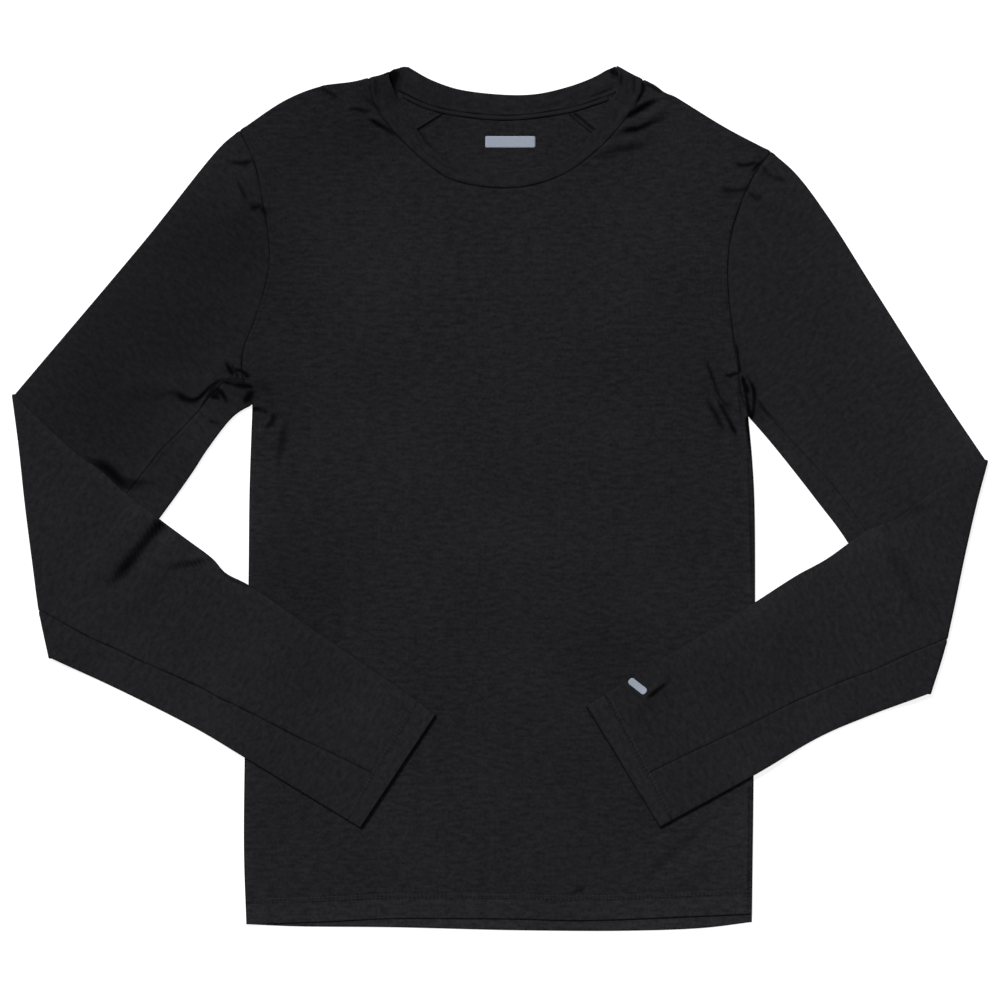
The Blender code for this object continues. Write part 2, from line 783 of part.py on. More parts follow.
def sleeve_ring(side, which, place, angle, surfaces):
    """One ring of the over-sleeve or the under-sleeve: its points, and the way out at each."""
    upper, forearm, out = surfaces
    plan = upper if place <= 1 and angle < np.pi else forearm
    along = place if plan is upper else place - 1
    front_seam = seam_share(side, "front", place)
    back_seam = seam_share(side, "back", place)
    front_gap = half_gap(side, "front", place, plan, along)
    back_gap = half_gap(side, "back", place, plan, along)
    if which == "over":
        end, steps, first, last = (0.0, OVER_STEPS, front_seam - front_gap, back_seam - back_gap)
    else:
        end, steps, first, last = (1.0, UNDER_STEPS, front_seam + front_gap, back_seam + back_gap)
    towards_end = np.append(unit(plan(end, along) - plan(abs(end - NEAR), along)), 0)
    away = np.append(out, 0)
    across_cloth = UP * np.cos(angle) - away * np.sin(angle)
    radius = PLY / 2
    rows = [(share, 0.0) for share in even(steps, first, end)[:-1]]
    rows += [(end, turned) for turned in even(EDGE_STEPS, 0, np.pi)]
    rows += [(share, np.pi) for share in even(steps, end, last)[1:]]
    points, ways = [], []
    for share, turned in rows:
        height = LOW + radius * (1 + np.cos(turned))
        spot = np.append(plan(share, along), 0) + radius * np.sin(turned) * towards_end
        spot = spot + away * (TURN_HEIGHT - height) * np.sin(angle)
        spot[2] = TURN_HEIGHT - (TURN_HEIGHT - height) * np.cos(angle)
        upness = (1 + np.cos(turned)) / 2  # 1 on the front ply, 0 on the back ply
        if angle == 0:
            spot[2] += upness * rise_at(spot[:2], BODY_FOLDS)
        if angle == np.pi:
            spot[2] += (1 - upness) * rise_at(spot[:2], FOREARM_FOLDS)
            spot[2] += support_height(side, spot[:2]) - LIFT
        points.append(spot)
        ways.append(np.sin(turned) * towards_end + np.cos(turned) * across_cloth)
    return points, ways


def sleeve_piece(side, which, name):
    surfaces = sleeve_surfaces(side)
    rings = [sleeve_ring(side, which, place, angle, surfaces) for place, angle in sleeve_stations()]
    sheet = Sheet()
    sheet.add(np.array([points for points, _ in rings]), np.array([ways for _, ways in rings]))
    return sheet.build(name, KNIT)


def centre_on_floor(pieces):
    """Moves all pieces together, so that the origin is under the middle of their box."""
    bpy.context.view_layer.update()
    graph = bpy.context.evaluated_depsgraph_get()
    corners = []
    for piece in pieces:
        mesh = piece.evaluated_get(graph).to_mesh()
        corners.extend(vertex.co.copy() for vertex in mesh.vertices)
    corners = np.array(corners)
    low, high = corners.min(axis=0), corners.max(axis=0)
    shift = Vector((-(low[0] + high[0]) / 2, -(low[1] + high[1]) / 2, -low[2]))
    for piece in pieces:
        piece.data.transform(Matrix.Translation(shift))


def main():
    for leftover in list(bpy.data.objects):
        bpy.data.objects.remove(leftover)
    pieces = [front_panel(), back_panel(), neck_band(), neck_tape()]
    for side in ("left", "right"):
        pieces.append(sleeve_piece(side, "over", "sleeve_" + side))
        pieces.append(sleeve_piece(side, "under", "under_sleeve_" + side))
    centre_on_floor(pieces)


main()
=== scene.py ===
import bpy
import numpy as np
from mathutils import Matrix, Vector


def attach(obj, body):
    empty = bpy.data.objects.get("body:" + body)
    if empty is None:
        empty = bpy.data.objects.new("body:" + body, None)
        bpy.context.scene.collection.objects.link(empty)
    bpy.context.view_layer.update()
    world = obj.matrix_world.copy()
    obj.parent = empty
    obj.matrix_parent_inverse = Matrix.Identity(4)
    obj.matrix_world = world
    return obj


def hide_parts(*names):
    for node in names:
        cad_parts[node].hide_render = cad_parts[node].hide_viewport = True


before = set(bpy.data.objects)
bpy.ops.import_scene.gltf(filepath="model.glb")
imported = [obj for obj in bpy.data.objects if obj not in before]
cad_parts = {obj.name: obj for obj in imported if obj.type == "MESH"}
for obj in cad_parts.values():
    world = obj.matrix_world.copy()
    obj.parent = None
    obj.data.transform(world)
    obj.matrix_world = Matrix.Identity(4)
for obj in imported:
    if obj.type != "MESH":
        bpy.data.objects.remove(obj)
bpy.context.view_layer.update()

mm = 0.001
up = np.array((0.0, 0.0, 1.0))
sides = ("left", "right")

cloth = {
    "wall": 1.0,  # the solids' ply, whose outer faces these skins lie on
    "ply": 1.4,  # middle of one ply to the middle of the next
    "skin": 0.8,  # thickness of the knit
    "doubled": 0.42,  # how much thicker it is where a hem is turned up
    "gap": -0.4,  # two pieces overlap by this at a seam
    "seamDip": 0.3,  # how deep a seam pulls the cloth in
    "dipReach": 2.2,
    "groove": 0.55,  # the narrow groove at the seam itself
    "grooveReach": 0.9,
    # painted shade along the seam's groove, at most
    "grooveShade": 0.75,
    "ridge": 0.22,  # the soft ridge beside a seam, from its allowance
    "ridgePlace": 3.4,
    "ridgeWidth": 1.9,
    "edgeRows": (0.0, 0.12, 0.4, 0.8, 1.4, 2.2, 3.2, 4.5, 6.0),  # rows of points beside an edge
    "shift": (-0.361, 0.469, 0.0),  # from the outlines' origin to the frame's
}
low = cloth["wall"] / 2
high = low + cloth["ply"]
edge = (cloth["ply"] + cloth["wall"]) / 2
turnHeight = high + cloth["ply"] / 2
lift = 2 * cloth["ply"]
seamGap = cloth["gap"] / 2
edgeRows = np.array(cloth["edgeRows"])
near = 0.02

# Outlines, each from one end to the other
body = {
    "side": {
        "left": [(-207.5, -349.4), (-209.5, -287.8), (-208.0, -165.6), (-205.8, -71.3), (-204.9, 6.0),
                 (-202.5, 76.7)],
        "right": [(206.9, -340.7), (208.3, -226.3), (209.5, -85.3), (208.9, -1.0), (206.9, 34.0),
                  (203.8, 67.2)],
    },
    "sideTop": 70,  # above this a point is beside an armhole
    "frontHem": [(-207.5, -348.7), (-166.3, -347.5), (-139.0, -346.6), (-111.9, -345.2), (-89.8, -344.4),
                 (-57.0, -344.2), (16.8, -344.8), (62.5, -346.0), (206.9, -340.7)],
    "backHem": [(-207.5, -349.4), (-167.9, -351.1), (-88.1, -351.9), (16.8, -354.4), (109.5, -354.7),
                (167.7, -352.4), (206.9, -347.6)],
    "shoulder": {
        "left": [(-213.0, 301.3), (-174.2, 326.8), (-145.9, 337.6), (-120.1, 341.3), (-107.0, 343.6)],
        "right": [(117.5, 342.8), (127.0, 338.6), (136.1, 332.3), (143.4, 329.4), (157.0, 321.2),
                  (186.0, 303.3), (222.6, 284.0)],
    },
    "shoulderSeam": 0.345,  # the share of the armhole where the shoulder seam meets it
    "seamSpare": 0.2,  # half the overlap of the front and the back at that seam
    "shoulderLength": 110,
    "shoulderBend": 14,  # over this the fold's ends are drawn to the neck and the armhole
    "frontDroop": 0.35,  # where the front and the back are sewn, their edges meet half way
    "backDroop": 0.12,
    "droopReach": 3.0,
    "sideHighlight": (0.1, 9),  # painted highlight: a paler strip along the side seams: how much paler, and its reach
    # painted shade along the side edges and along the back's hem edge: how dark, and its reach
    "sideShade": (0.6, 0.7),
    "hemShade": (0.8, 0.8),
    "backHemTone": 1.45,
    "shoulderCount": 48,
    "neckCount": 72,
    "sideCount": 108,
    "upperArmCount": 34,
    "lowerArmCount": 60,
    "backArmCount": 82,
    "backNeckCount": 101,
    "turnCount": 8,
}
neck = {
    "frontSeam": [(-107.0, 343.6), (-104.5, 327.0), (-90.2, 304.2), (-57.8, 272.6), (-38.3, 260.6),
                  (7.1, 254.0), (47.6, 262.9), (79.9, 284.8), (101.1, 307.5), (114.1, 325.5),
                  (117.5, 342.8)],
    "frontEdge": [(-90.3, 347.5), (-90.4, 344.4), (-87.8, 337.0), (-85.2, 331.0), (-66.8, 300.7),
                  (-57.8, 288.0), (-36.7, 275.0), (7.1, 268.6), (55.8, 278.3), (76.7, 300.1),
                  (91.4, 323.9), (97.8, 339.2), (97.6, 346.5), (95.4, 353.6)],
    "backSeam": [(-107.0, 343.6), (-84.0, 334.6), (-61.1, 323.9), (-39.9, 318.2), (7.0, 313.8),
                 (55.8, 319.8), (75.8, 325.5), (94.7, 332.6), (117.5, 342.8)],
    "backEdge": [(-90.3, 347.5), (-88.0, 350.9), (-83.6, 352.2), (-78.7, 353.6), (-75.4, 353.6),
                 (-71.3, 351.4), (-64.0, 347.0), (-54.5, 342.2), (-33.5, 335.1), (7.1, 330.5),
                 (31.4, 331.4), (55.8, 337.0), (69.7, 341.8), (79.7, 346.2), (87.0, 350.4),
                 (91.8, 352.5), (94.4, 353.7), (96.4, 354.6)],
    "seamMeets": {"left": 0.300, "right": 0.722},  # the shoulder seams, along the back neck seam
    "edgeMeets": {"left": 0.300, "right": 0.770},
    "peak": 0.066,  # the left peak, along the band's back edge
    "tipCrowding": 1.4,  # how much closer the back's points are at the right tip
    "bandWidth": 14.0,
    "bandMiddle": (6, 7, 8),  # rows between those beside its two edges
    "bandTurn": 3.0,  # the rib's length round each tip
    "bandDoubled": (3, 4),  # the folded rib is doubled from here, and fully after this more
    "tapeWidth": 4.5,
    "tapeLength": 190,
    "tapeSpan": (0.13, 0.87),
    "tapeHeight": 1.22,
}
sleeves = {
    "left": {
        "armhole": [(-213.0, 301.3), (-201.3, 276.3), (-193.7, 241.1), (-188.7, 209.1), (-189.5, 184.1),
                    (-200.5, 145.6), (-210.3, 118.9), (-209.8, 98.0), (-202.5, 76.7)],
        "outer": [(-213.0, 301.3), (-228.4, 288.6), (-291.5, 211.6), (-400.4, 84.4)],
        "inner": [(-202.5, 76.7), (-217.7, 67.2), (-239.0, 40.9), (-251.7, 21.6), (-276.3, -12.4),
                  (-368.6, -131.4)],
        "fold": [(-400.4, 84.4), (-394.9, 45.0), (-388.9, -6.7), (-381.9, -58.2), (-377.0, -92.5),
                 (-368.6, -131.4)],
        "upper": [(-400.4, 84.4), (-348.1, 38.1), (-324.3, 20.9), (-309.6, 7.4), (-297.3, -2.1),
                  (-285.8, -11.1), (-272.9, -21.0), (-252.8, -36.0), (-233.5, -50.6), (-224.0, -61.2),
                  (-205.4, -71.0), (-141.4, -114.8), (-66.8, -166.1), (-52.2, -177.6)],
        "lower": [(-368.6, -131.4), (-299.7, -163.5), (-245.0, -191.4), (-208.7, -212.7),
                  (-113.9, -270.0)],
        "front": (0.920, 0.872, 0.861, 0.802, 0.780, 0.790, 0.800, 0.820, 0.850, 0.880),
        "back": (0.920, 0.915, 0.905, 0.880, 0.820, 0.819, 0.798, 0.748, 0.688, 0.602),
        "bodyEdge": -205.8,  # the forearm leaves the body here
        "seamShade": 0.9,  # how strong the painted shade along the forearm's seam is
        "cuffReach": 0.6,  # of the painted shade at the cuff's edge
        "pucker": 31,
    },
    "right": {
        "armhole": [(222.6, 284.0), (207.7, 263.2), (194.5, 232.2), (188.8, 209.7), (187.0, 183.3),
                    (188.8, 156.9), (195.6, 102.5), (198.3, 83.5), (203.8, 67.2)],
        "outer": [(222.6, 284.0), (243.2, 265.8), (271.0, 229.2), (309.4, 169.4), (364.0, 85.0),
                  (401.2, 30.4)],
        "inner": [(203.8, 67.2), (223.9, 44.2), (260.9, -2.3), (287.2, -37.8), (352.6, -160.6)],
        "fold": [(401.2, 30.4), (391.7, -4.1), (380.9, -49.9), (371.0, -95.9), (363.6, -126.4),
                 (352.6, -160.6)],
        "upper": [(401.2, 30.4), (357.1, 6.1), (325.1, -17.1), (301.9, -25.9), (266.2, -50.6),
                  (241.8, -64.2), (192.3, -95.9), (126.7, -135.3), (70.4, -170.6)],
        "lower": [(352.6, -160.6), (302.2, -179.3), (265.6, -194.7), (207.9, -227.6), (130.9, -269.8)],
        "front": (0.920, 0.891, 0.876, 0.848, 0.810, 0.820, 0.830, 0.845, 0.860, 0.880),
        "back": (0.920, 0.910, 0.900, 0.875, 0.765, 0.763, 0.757, 0.711, 0.668, 0.623),
        "bodyEdge": 209.5,
        "seamShade": 0.28,
        "cuffReach": 1.6,
        "pucker": 37,
    },
    # armhole 0, elbow 1, cuff 2: "front" and "back" say where the sleeve's two seams run at each of
    # these places, from the outer edge (0) to the inner (1)
    "places": (0.00, 0.07, 0.20, 0.40, 1.00, 1.15, 1.30, 1.50, 1.75, 2.00),
    "drapeStart": 7.0,  # a forearm leaves what it lies on this far past its edge
    "drapeLength": 38.0,
    "settling": 12,  # creases and drape begin this far from the elbow's fold
    "upperSeamShade": 0.3,
    "armholeReach": 18,  # the painted shade of the sleeve's seams is full at the armhole and less after this
    # painted highlight along the outer edge: how much paler, and its reach; then painted shade where the
    # sleeve turns over and at the cuff's edge
    "edgeHighlight": (0.12, 9),
    "edgeShade": 0.6,
    "cuffShade": 0.95,
    "cuffTone": 1.08,
    "overCount": 78,
    "underCount": 14,
    "edgeCount": 8,
    "upperCount": 108,
    "elbowCount": 12,
    "forearmCount": 112,
}
hems = {
    "depth": 20.0,  # from the edge up to the middle of the stitching
    "bodyLess": 1.5,  # how much narrower the body's hem is
    "rowGap": 2.6,  # between the two rows of stitches
    "raise": 0.2,
    "drawn": 0.32,  # how deep its stitching pulls in
    "drawnReach": 1.7,
    "shade": 0.7,  # painted shade in the furrow under its lower row: how dark
    "shadeReach": 0.9,
    "tone": 1.22,  # how much paler the doubled cloth is
    "pucker": 0.12,
    "puckerLength": 5.3,
    "puckerReach": 6.0,
    "bodyPucker": 11,  # the seeds of the puckers: these and each sleeve's
    "under": 0.26,  # height of the stitches below the back
    "span": (-204, 203.5),
}

# Soft folds that the solids have too: a ridge along a line, its width and its rise
bodyFolds = [
    (-104, 341, -90, 345, 11, 1.6), (100, 346, 115, 340, 9, 0.8), (101, 303, 134, 319, 5, 1.8),
    (86, 286, 122, 300, 7, 1.0), (-124, 312, -94, 300, 8, 1.0), (-224, 110, -204, 95, 9, 2.6),
    (-215, 232, -205, 262, 9, 1.0), (-300, 92, -245, 92, 9, 1.6), (195, 104, 207, 72, 8, 2.2),
    (172, 100, 184, 78, 7, 1.2), (205, 255, 240, 232, 9, 1.2), (262, 110, 318, 60, 12, 1.4),
    (-70, 150, 60, 120, 42, 1.2), (-60, -40, 70, -60, 22, 0.9), (136, -318, 172, -292, 9, 1.2),
    (-150, -312, -120, -325, 9, 0.9),
]
forearmFolds = [
    (-296, -16, -336, -64, 9, 1.4), (-264, -38, -302, -88, 9, 0.9), (-190, -128, -150, -150, 14, 1.2),
    (322, -34, 342, -72, 16, 2.4), (292, -52, 306, -98, 13, 1.8), (190, -130, 222, -150, 14, 1.2),
    (112, -172, 128, -156, 7, 1.0),
]
# Creases, listed one by one. Each has a path whose left side is the high one, the ridge's rise and
# its reach on the high and the low side, the trough's depth and reach, how dark the fold is, and
# sometimes the shares of the path over which its two ends fade
# a crease's darkness is painted shade, laid into the cloth's colour
bodyCreases = [
    # at the left underarm
    ([(-246.4, 71.3), (-239.8, 81.6), (-234.9, 89.4),
      (-228.4, 95.9), (-217.7, 97.6), (-202.9, 96.3)], 1.3, 1.8, 1, 0, 1, 0),
    ([(-228.4, 95.1), (-221.8, 93.9), (-212.8, 92.2),
      (-201.3, 90.2)], 0.2, 1.2, 0.7, 0.5, 1.3, 1, (0.2, 0.05)),
    ([(-220.2, 92.7), (-210.3, 91.8), (-202.5, 91)], 0, 1.2, 0.7, 0.6, 2.2, 1, (0.3, 0.05)),
    ([(-217.3, 99.6), (-221.4, 106.6), (-224.7, 111.5),
      (-227.1, 115.6)], 0.9, 2.2, 0.9, 0.5, 1.9, 1, (0.12, 0.6)),
    ([(-213.2, 97.6), (-216.9, 104.5), (-219.3, 109.9)], 0.6, 1.4, 0.8, 0.4, 1, 0.9, (0.2, 0.3)),
    ([(-217.7, 103.7), (-212.8, 104.5), (-208.7, 102.5),
      (-205, 97.2)], 1, 1.8, 0.9, 0.5, 1.7, 1, (0.2, 0.15)),
    ([(-304.6, 84.9), (-280, 82.4), (-266.9, 86.5), (-258.7, 81.2),
      (-248.9, 79.9), (-241.5, 85.7), (-234.1, 93.1),
      (-221.8, 101.7)], 1.5, 5, 1.5, 0.6, 1.8, 0.9, (0.95, 0.2)),
    ([(-265.3, 88.6), (-258.7, 81.6), (-250.5, 79.5), (-242.3, 83.6)], 0, 3, 1, 0.4, 2.6, 0.9),
    ([(-233.7, 80.4), (-232.5, 85.3), (-230.8, 91)], 0, 3, 1, 0.6, 3.9, 1, (0.1, 0.4)),
    ([(-222.6, 74.6), (-224.3, 80.4), (-227.1, 85.3),
      (-232.5, 90.2)], 0.4, 1.6, 0.8, 0.5, 1.9, 1, (0.4, 0.1)),
    ([(-210.7, 76.3), (-205, 82.8), (-202.5, 88.1)], 0.4, 3, 1, 0.6, 3, 1, (0.3, 0.1)),
    ([(-204.6, 72.6), (-196.4, 72.6), (-189, 69.3)], 0.8, 3.2, 1.1, 0.4, 1.8, 0.75),
    ([(-193.1, 54.9), (-185.7, 63.1), (-184.1, 71.3)], 0.8, 3.5, 1.3, 0.4, 2.7, 0.75, (0.4, 0.3)),
    ([(-182.4, 18.9), (-179.2, 39.4), (-176.7, 55.8),
      (-173.4, 73.8)], 0.5, 3.5, 1.5, 0.3, 3.2, 0.5, (0.4, 0.5)),
    ([(-239.8, 64), (-234.1, 62.3), (-227.5, 60.3)], 0.4, 2.5, 1.2, 0.2, 1.4, 0.55),
    ([(-194.8, 94.3), (-190.6, 90.2), (-187.4, 85.3)], 0.3, 3.5, 1.5, 0.2, 2.6, 0.35),
    # at the right underarm
    ([(196.8, 101.7), (195.8, 112.3), (194.3, 123), (192.7, 132.8)], 0.5, 1.2, 0.8, 0.3, 1.2, 1, (0.05, 0.5)),
    ([(184.9, 102.5), (187, 100), (191.5, 101.4), (196.4, 102.5)], 0.7, 2.4, 0.8, 0.4, 1.2, 1, (0.15, 0.05)),
    ([(198, 60.7), (196.8, 76.3), (195.6, 89.4), (195.6, 103.3)], 0.5, 1.6, 0.7, 0.3, 0.8, 0.4),
    ([(206.2, 64.4), (204.2, 71.3), (202.7, 79.5),
      (201.7, 86.9), (200.1, 94.3), (198.4, 100.9)], 0.9, 2.2, 0.9, 0.6, 1.7, 1, (0.03, 0.1)),
    ([(206.2, 64.4), (207.6, 70.5), (208.7, 79.5), (208.4, 87.7),
      (206.2, 93.9), (202.9, 98.4), (199.3, 101.7)], 0.8, 1.8, 0.8, 0.6, 1.8, 1, (0.03, 0.45)),
    ([(203.8, 82), (202.1, 89.4), (201.3, 95.1)], 0, 1.8, 0.8, 0.6, 2.4, 1, (0.4, 0.25)),
    ([(209.5, 83.6), (216.9, 72.6), (222.6, 66.8), (233.3, 56.6)], 0.6, 2.8, 0.9, 0.3, 1.3, 0.6, (0.2, 0.5)),
    ([(206.2, 27.1), (204, 54.1), (202.7, 67.2)], 0, 1, 0.7, 0.2, 1.6, 1, (0.6, 0.04)),
    ([(189.8, 73), (180.4, 82.8), (175.1, 96.8),
      (171, 108.2), (166, 121.4)], 0.8, 3.4, 1, 0.3, 1.2, 0.75, (0.15, 0.35)),
    ([(184.9, 53.3), (176.3, 69.7), (168.5, 83.6)], 0.8, 4, 1.6, 0.3, 1.8, 0.75),
    ([(195.6, 48.4), (186.1, 67.2), (177.5, 82)], 0.9, 3.6, 1.4, 0.4, 1.8, 0.9),
    # left of the neck
    ([(-148.8, 336.6), (-140.6, 332.9), (-131.6, 326.8)], 0.6, 3, 1, 0.3, 1.4, 0.8),
    ([(-126.7, 317.3), (-116.8, 318.6), (-105.4, 314.1)], 0.7, 3, 1.2, 0.3, 1.8, 0.65),
    ([(-110.3, 312.4), (-99.6, 306.3), (-92.2, 301.8), (-82.4, 296)], 0.9, 3.4, 1.2, 0.5, 1.8, 0.95),
    ([(-102.1, 328.8), (-101.7, 337.8), (-100.9, 346)], 0.5, 1.6, 0.8, 0.2, 1, 0.6),
    ([(-114.4, 330.9), (-105.4, 323.9), (-95.5, 316.1)], 0.4, 2.4, 1, 0.2, 1.1, 0.5),
    # right of the neck
    ([(98.6, 336.2), (99.6, 343.6), (99.3, 350.1)], 0.3, 1.2, 0.7, 0.3, 1, 0.6, (0.3, 0.3)),
    ([(108.6, 331.3), (109.9, 339.5), (110.9, 346.9)], 0.5, 1.8, 0.8, 0.2, 1, 0.65),
    ([(106.6, 319), (114.4, 327.6), (117.4, 333.7), (117.7, 341.1)], 0.9, 2.4, 0.8, 0.4, 1.5, 1, (0.5, 0.1)),
    ([(119.3, 339.1), (125.9, 336.2), (133.2, 331.7)], 0.4, 1.6, 0.8, 0.2, 1.1, 0.6),
    ([(100.4, 309.1), (109.5, 315.3), (119.3, 321.4),
      (128.3, 325.5), (139, 328.8)], 1.5, 3.4, 1.2, 0.6, 2.6, 1, (0.2, 0.5)),
    ([(93.9, 297.2), (100.4, 300.3), (113.6, 302.6),
      (124.2, 307.1), (139, 312)], 1.2, 4.2, 1.4, 0.5, 2, 1, (0.3, 0.45)),
    ([(72.6, 277.2), (87.3, 282.9), (98.8, 285.8), (127.5, 290.7)], 0.8, 4.2, 1.4, 0.4, 2.7, 0.6, (0.4, 0.4)),
    # at the left shoulder
    ([(-221.8, 275.5), (-210.3, 274.3), (-199.7, 277.2)], 0.8, 3.2, 1.2, 0.3, 1.7, 0.75),
    ([(-206.6, 242.7), (-211.6, 253.4), (-216.1, 263.2)], 0.6, 3, 1.2, 0.3, 1.3, 0.6),
    ([(-207.9, 237), (-200.5, 238.6), (-194.8, 237.8), (-189.8, 228.8)], 0.9, 3, 1, 0.4, 2.1, 1, (0.3, 0.3)),
    # at the right shoulder
    ([(191.5, 273.9), (201.3, 272.6), (212.8, 275.5)], 0.7, 3.2, 1.2, 0.3, 1.7, 0.75),
    ([(205.8, 266.1), (210.7, 271.8), (216.1, 277.2)], 0.4, 1.6, 0.8, 0.3, 1.2, 0.9),
    ([(176.7, 253.8), (190.6, 251.3), (204.6, 253)], 0.8, 4, 1.8, 0.4, 2.3, 0.58, (0.4, 0.2)),
    ([(213.6, 273.1), (222.6, 263.6), (236.6, 259.5)], 0.7, 3.6, 1.6, 0.3, 2, 0.5),
    ([(200.5, 252.1), (208.3, 246.8), (216.9, 245.2)], 0.5, 2.6, 1.2, 0.3, 1.6, 0.55),
    # on the left upper sleeve, beside the forearm
    ([(-341.5, 34.9), (-332.5, 29.9), (-324.3, 25.8), (-316.9, 20.1),
      (-311.2, 14.3), (-304.6, 9.8), (-296.4, 8.2), (-288.2, 7.4)], 1.1, 5, 2, 0.6, 4.2, 0.93, (0.3, 0.4)),
    ([(-309.5, 15.2), (-298.1, 12.7), (-286.6, 12.3),
      (-271.8, 13.9)], 0.6, 5, 1.8, 0.3, 2.3, 0.62, (0.1, 0.6)),
    # low on the body
    ([(120.1, -308.3), (143.1, -289.5), (167.7, -269)], 0.6, 9, 4, 0.2, 4, 0.2),
    ([(59.4, -320.6), (64.4, -321.4), (69.3, -322.7)], 0.2, 2, 1, 0.2, 1.8, 0.7),
    # beside the right side seam
    ([(207, -88.6), (205.4, -18), (202.5, 55.8)], 0.15, 1, 0.7, 0.2, 0.8, 0.5),
    ([(203.8, -344.4), (204.2, -280.4), (205, -219.8)], 0.15, 1, 0.7, 0.2, 0.8, 0.5),
]
forearmCreases = [
    ([(-325.9, -77.1), (-317.8, -69.3), (-310, -60.7), (-302.6, -51.7),
      (-295.6, -42.6), (-288.6, -34.4), (-282.5, -26.2),
      (-275.9, -18.9)], 1.2, 7, 2.2, 1, 4.4, 1, (0.42, 0.03)),
    ([(-322.7, -74.6), (-309.5, -60.7), (-298.1, -46.7),
      (-287.4, -33.6)], 0, 7, 2.2, 0.2, 5, 0.6, (0.4, 0.5)),
    ([(-280.8, -58.2), (-262, -55.3), (-248, -52.5),
      (-231.6, -48.4)], 0.8, 3, 1.2, 0.3, 1.8, 0.72, (0.4, 0.4)),
    ([(-242.3, -45.1), (-230.8, -53.3), (-222.6, -64.8), (-201.3, -74.6)], 0.5, 2.4, 1.4, 0.2, 1.2, 0.25),
    ([(117.7, -166.5), (125, -160.7), (131.6, -155.4),
      (140.6, -148.4)], 0.8, 3, 1.1, 0.5, 1.9, 1, (0.4, 0.45)),
    ([(310.4, -33.6), (324.3, -18), (337.4, -10.7), (354.6, -4.9)], 0.6, 8, 5, 0.3, 4.6, 0.22),
    ([(345.6, -92.7), (332.5, -68.1), (322.7, -50.8), (312, -34.4)], 0.8, 9, 6, 0.3, 5.2, 0.25),
]
# Painted shade inside the neck, on the back, its band and its tape, where the band shades them; these rows
# raise nothing
neckShadowRows = [
    ([(-96.3, 345.6), (-89.8, 346.4), (-84.9, 346.9), (-79.9, 348.5)], 0, 1, 1, 0, 4.6, 0.95, (0.2, 0.3)),
    ([(-82, 323.1), (-85.7, 332.9), (-86.9, 341.1), (-86.3, 346),
      (-86.1, 351.8)], 0, 1, 1, 0, 4.4, 1, (0.7, 0.1)),
    ([(-81.6, 322.7), (-85.1, 332.1), (-87.7, 341.1)], 0, 1, 1, 0, 1.7, 1, (0.35, 0.05)),
    ([(-82, 323.9), (-75, 312), (-66.8, 300.1), (-54.5, 286.6),
      (-38.9, 275.5)], 0, 1, 1, 0, 1.6, 0.6, (0.1, 0.5)),
    ([(89.4, 349.7), (93.9, 349.1), (97.6, 345.6)], 0, 1, 1, 0, 3, 1, (0.3, 0.15)),
    ([(98.4, 335.4), (99.6, 342.8), (98.8, 349.3)], 0, 1, 1, 0, 1.6, 0.8, (0.5, 0.1)),
    ([(69.3, 328.4), (82.4, 331.7), (96.3, 338.7)], 0, 1, 1, 0, 0.8, 0.7),
    ([(69.3, 319.4), (82.4, 322.3), (92.2, 325.9)], 0, 1, 1, 0, 1.1, 1, (0.3, 0.1)),
    ([(54.5, 316.9), (64.4, 308.3), (79.1, 296.4)], 0, 1, 1, 0, 0.8, 0.7),
    ([(57.8, 318.2), (67.6, 309.5), (81.6, 298.9)], 0, 1, 1, 0, 0.7, 0.6),
]
# Painted light and shade: where the cloth is made paler or darker for how the light falls on it: a middle, a
# reach and a factor
bodyPaintedLight = [
    (-260.3, 154.2, 82, 0.74), (-339.9, 80.4, 57, 0.77), (-219.3, 211.6, 41, 0.82), (-118.5, 305.9, 45, 0.84),
    (-163.6, 277.2, 49, 0.87), (-194.8, 80.4, 33, 0.84), (-175.9, -59, 41, 0.86), (-147.2, -91.8, 37, 0.88),
    (176.7, 100.9, 31, 0.82), (143.9, 162.4, 33, 0.92), (82.4, 314.1, 33, 0.88), (-93.9, 342.8, 25, 0.84),
    (320.2, 129.6, 41, 1.14), (373.5, 47.6, 49, 1.14), (225.9, 23, 26, 1.2), (279.2, -9.8, 30, 1.21),
    (-262, 23, 30, 0.93), (-315.3, 47.6, 49, 0.88), (-194.8, -18, 13, 1.15), (-196.4, 57.4, 7, 1.25),
    (-182.4, 59.9, 7, 1.15), (-245.6, 55.8, 26, 1.18), (299.7, 178.8, 33, 1.1), (193.1, -313.2, 33, 1.12),
    (156.2, -305, 57, 1.1), (201.3, -264, 25, 1.18), (-65.2, 228, 49, 1.07), (82.4, 195.2, 49, 1.06),
    (94.7, -132.8, 37, 0.86), (139.8, -9.8, 37, 0.9), (-40.6, 277.2, 33, 0.88), (-85.7, -288.6, 49, 1.06),
    (57.8, -288.6, 49, 0.94),
]
forearmPaintedLight = [
    (-274.3, -36.1, 25, 1.25), (-335.8, -83.6, 49, 1.05), (-376.8, -26.2, 41, 1.06),
    (-106.2, -173.8, 31, 1.15),
    (295.6, -50.8, 57, 1.13), (353, -100, 49, 1.12), (213.6, -75.4, 30, 1.2), (-323.5, -136.9, 33, 1.1),
    (-245.6, -182, 33, 1.08), (201.3, -223, 20, 1.13), (115.2, -149.2, 25, 0.88), (-147.2, -128.7, 33, 0.9),
    (246.4, -182, 41, 1.1), (-188.2, -157.4, 41, 1.07), (-253.8, -91.8, 33, 0.98),
]
neckInsideShade = [(-61, 318, 37, 0.82), (66, 310, 30, 0.92)]
# The neckband's front stands up a little at its two peaks
bandFolds = [(-89, 352, -85, 337, 6.5, 2.4), (97.6, 352, 97.2, 342, 6, 1.0), (-85, 337, -45, 283, 6, 0.9)]
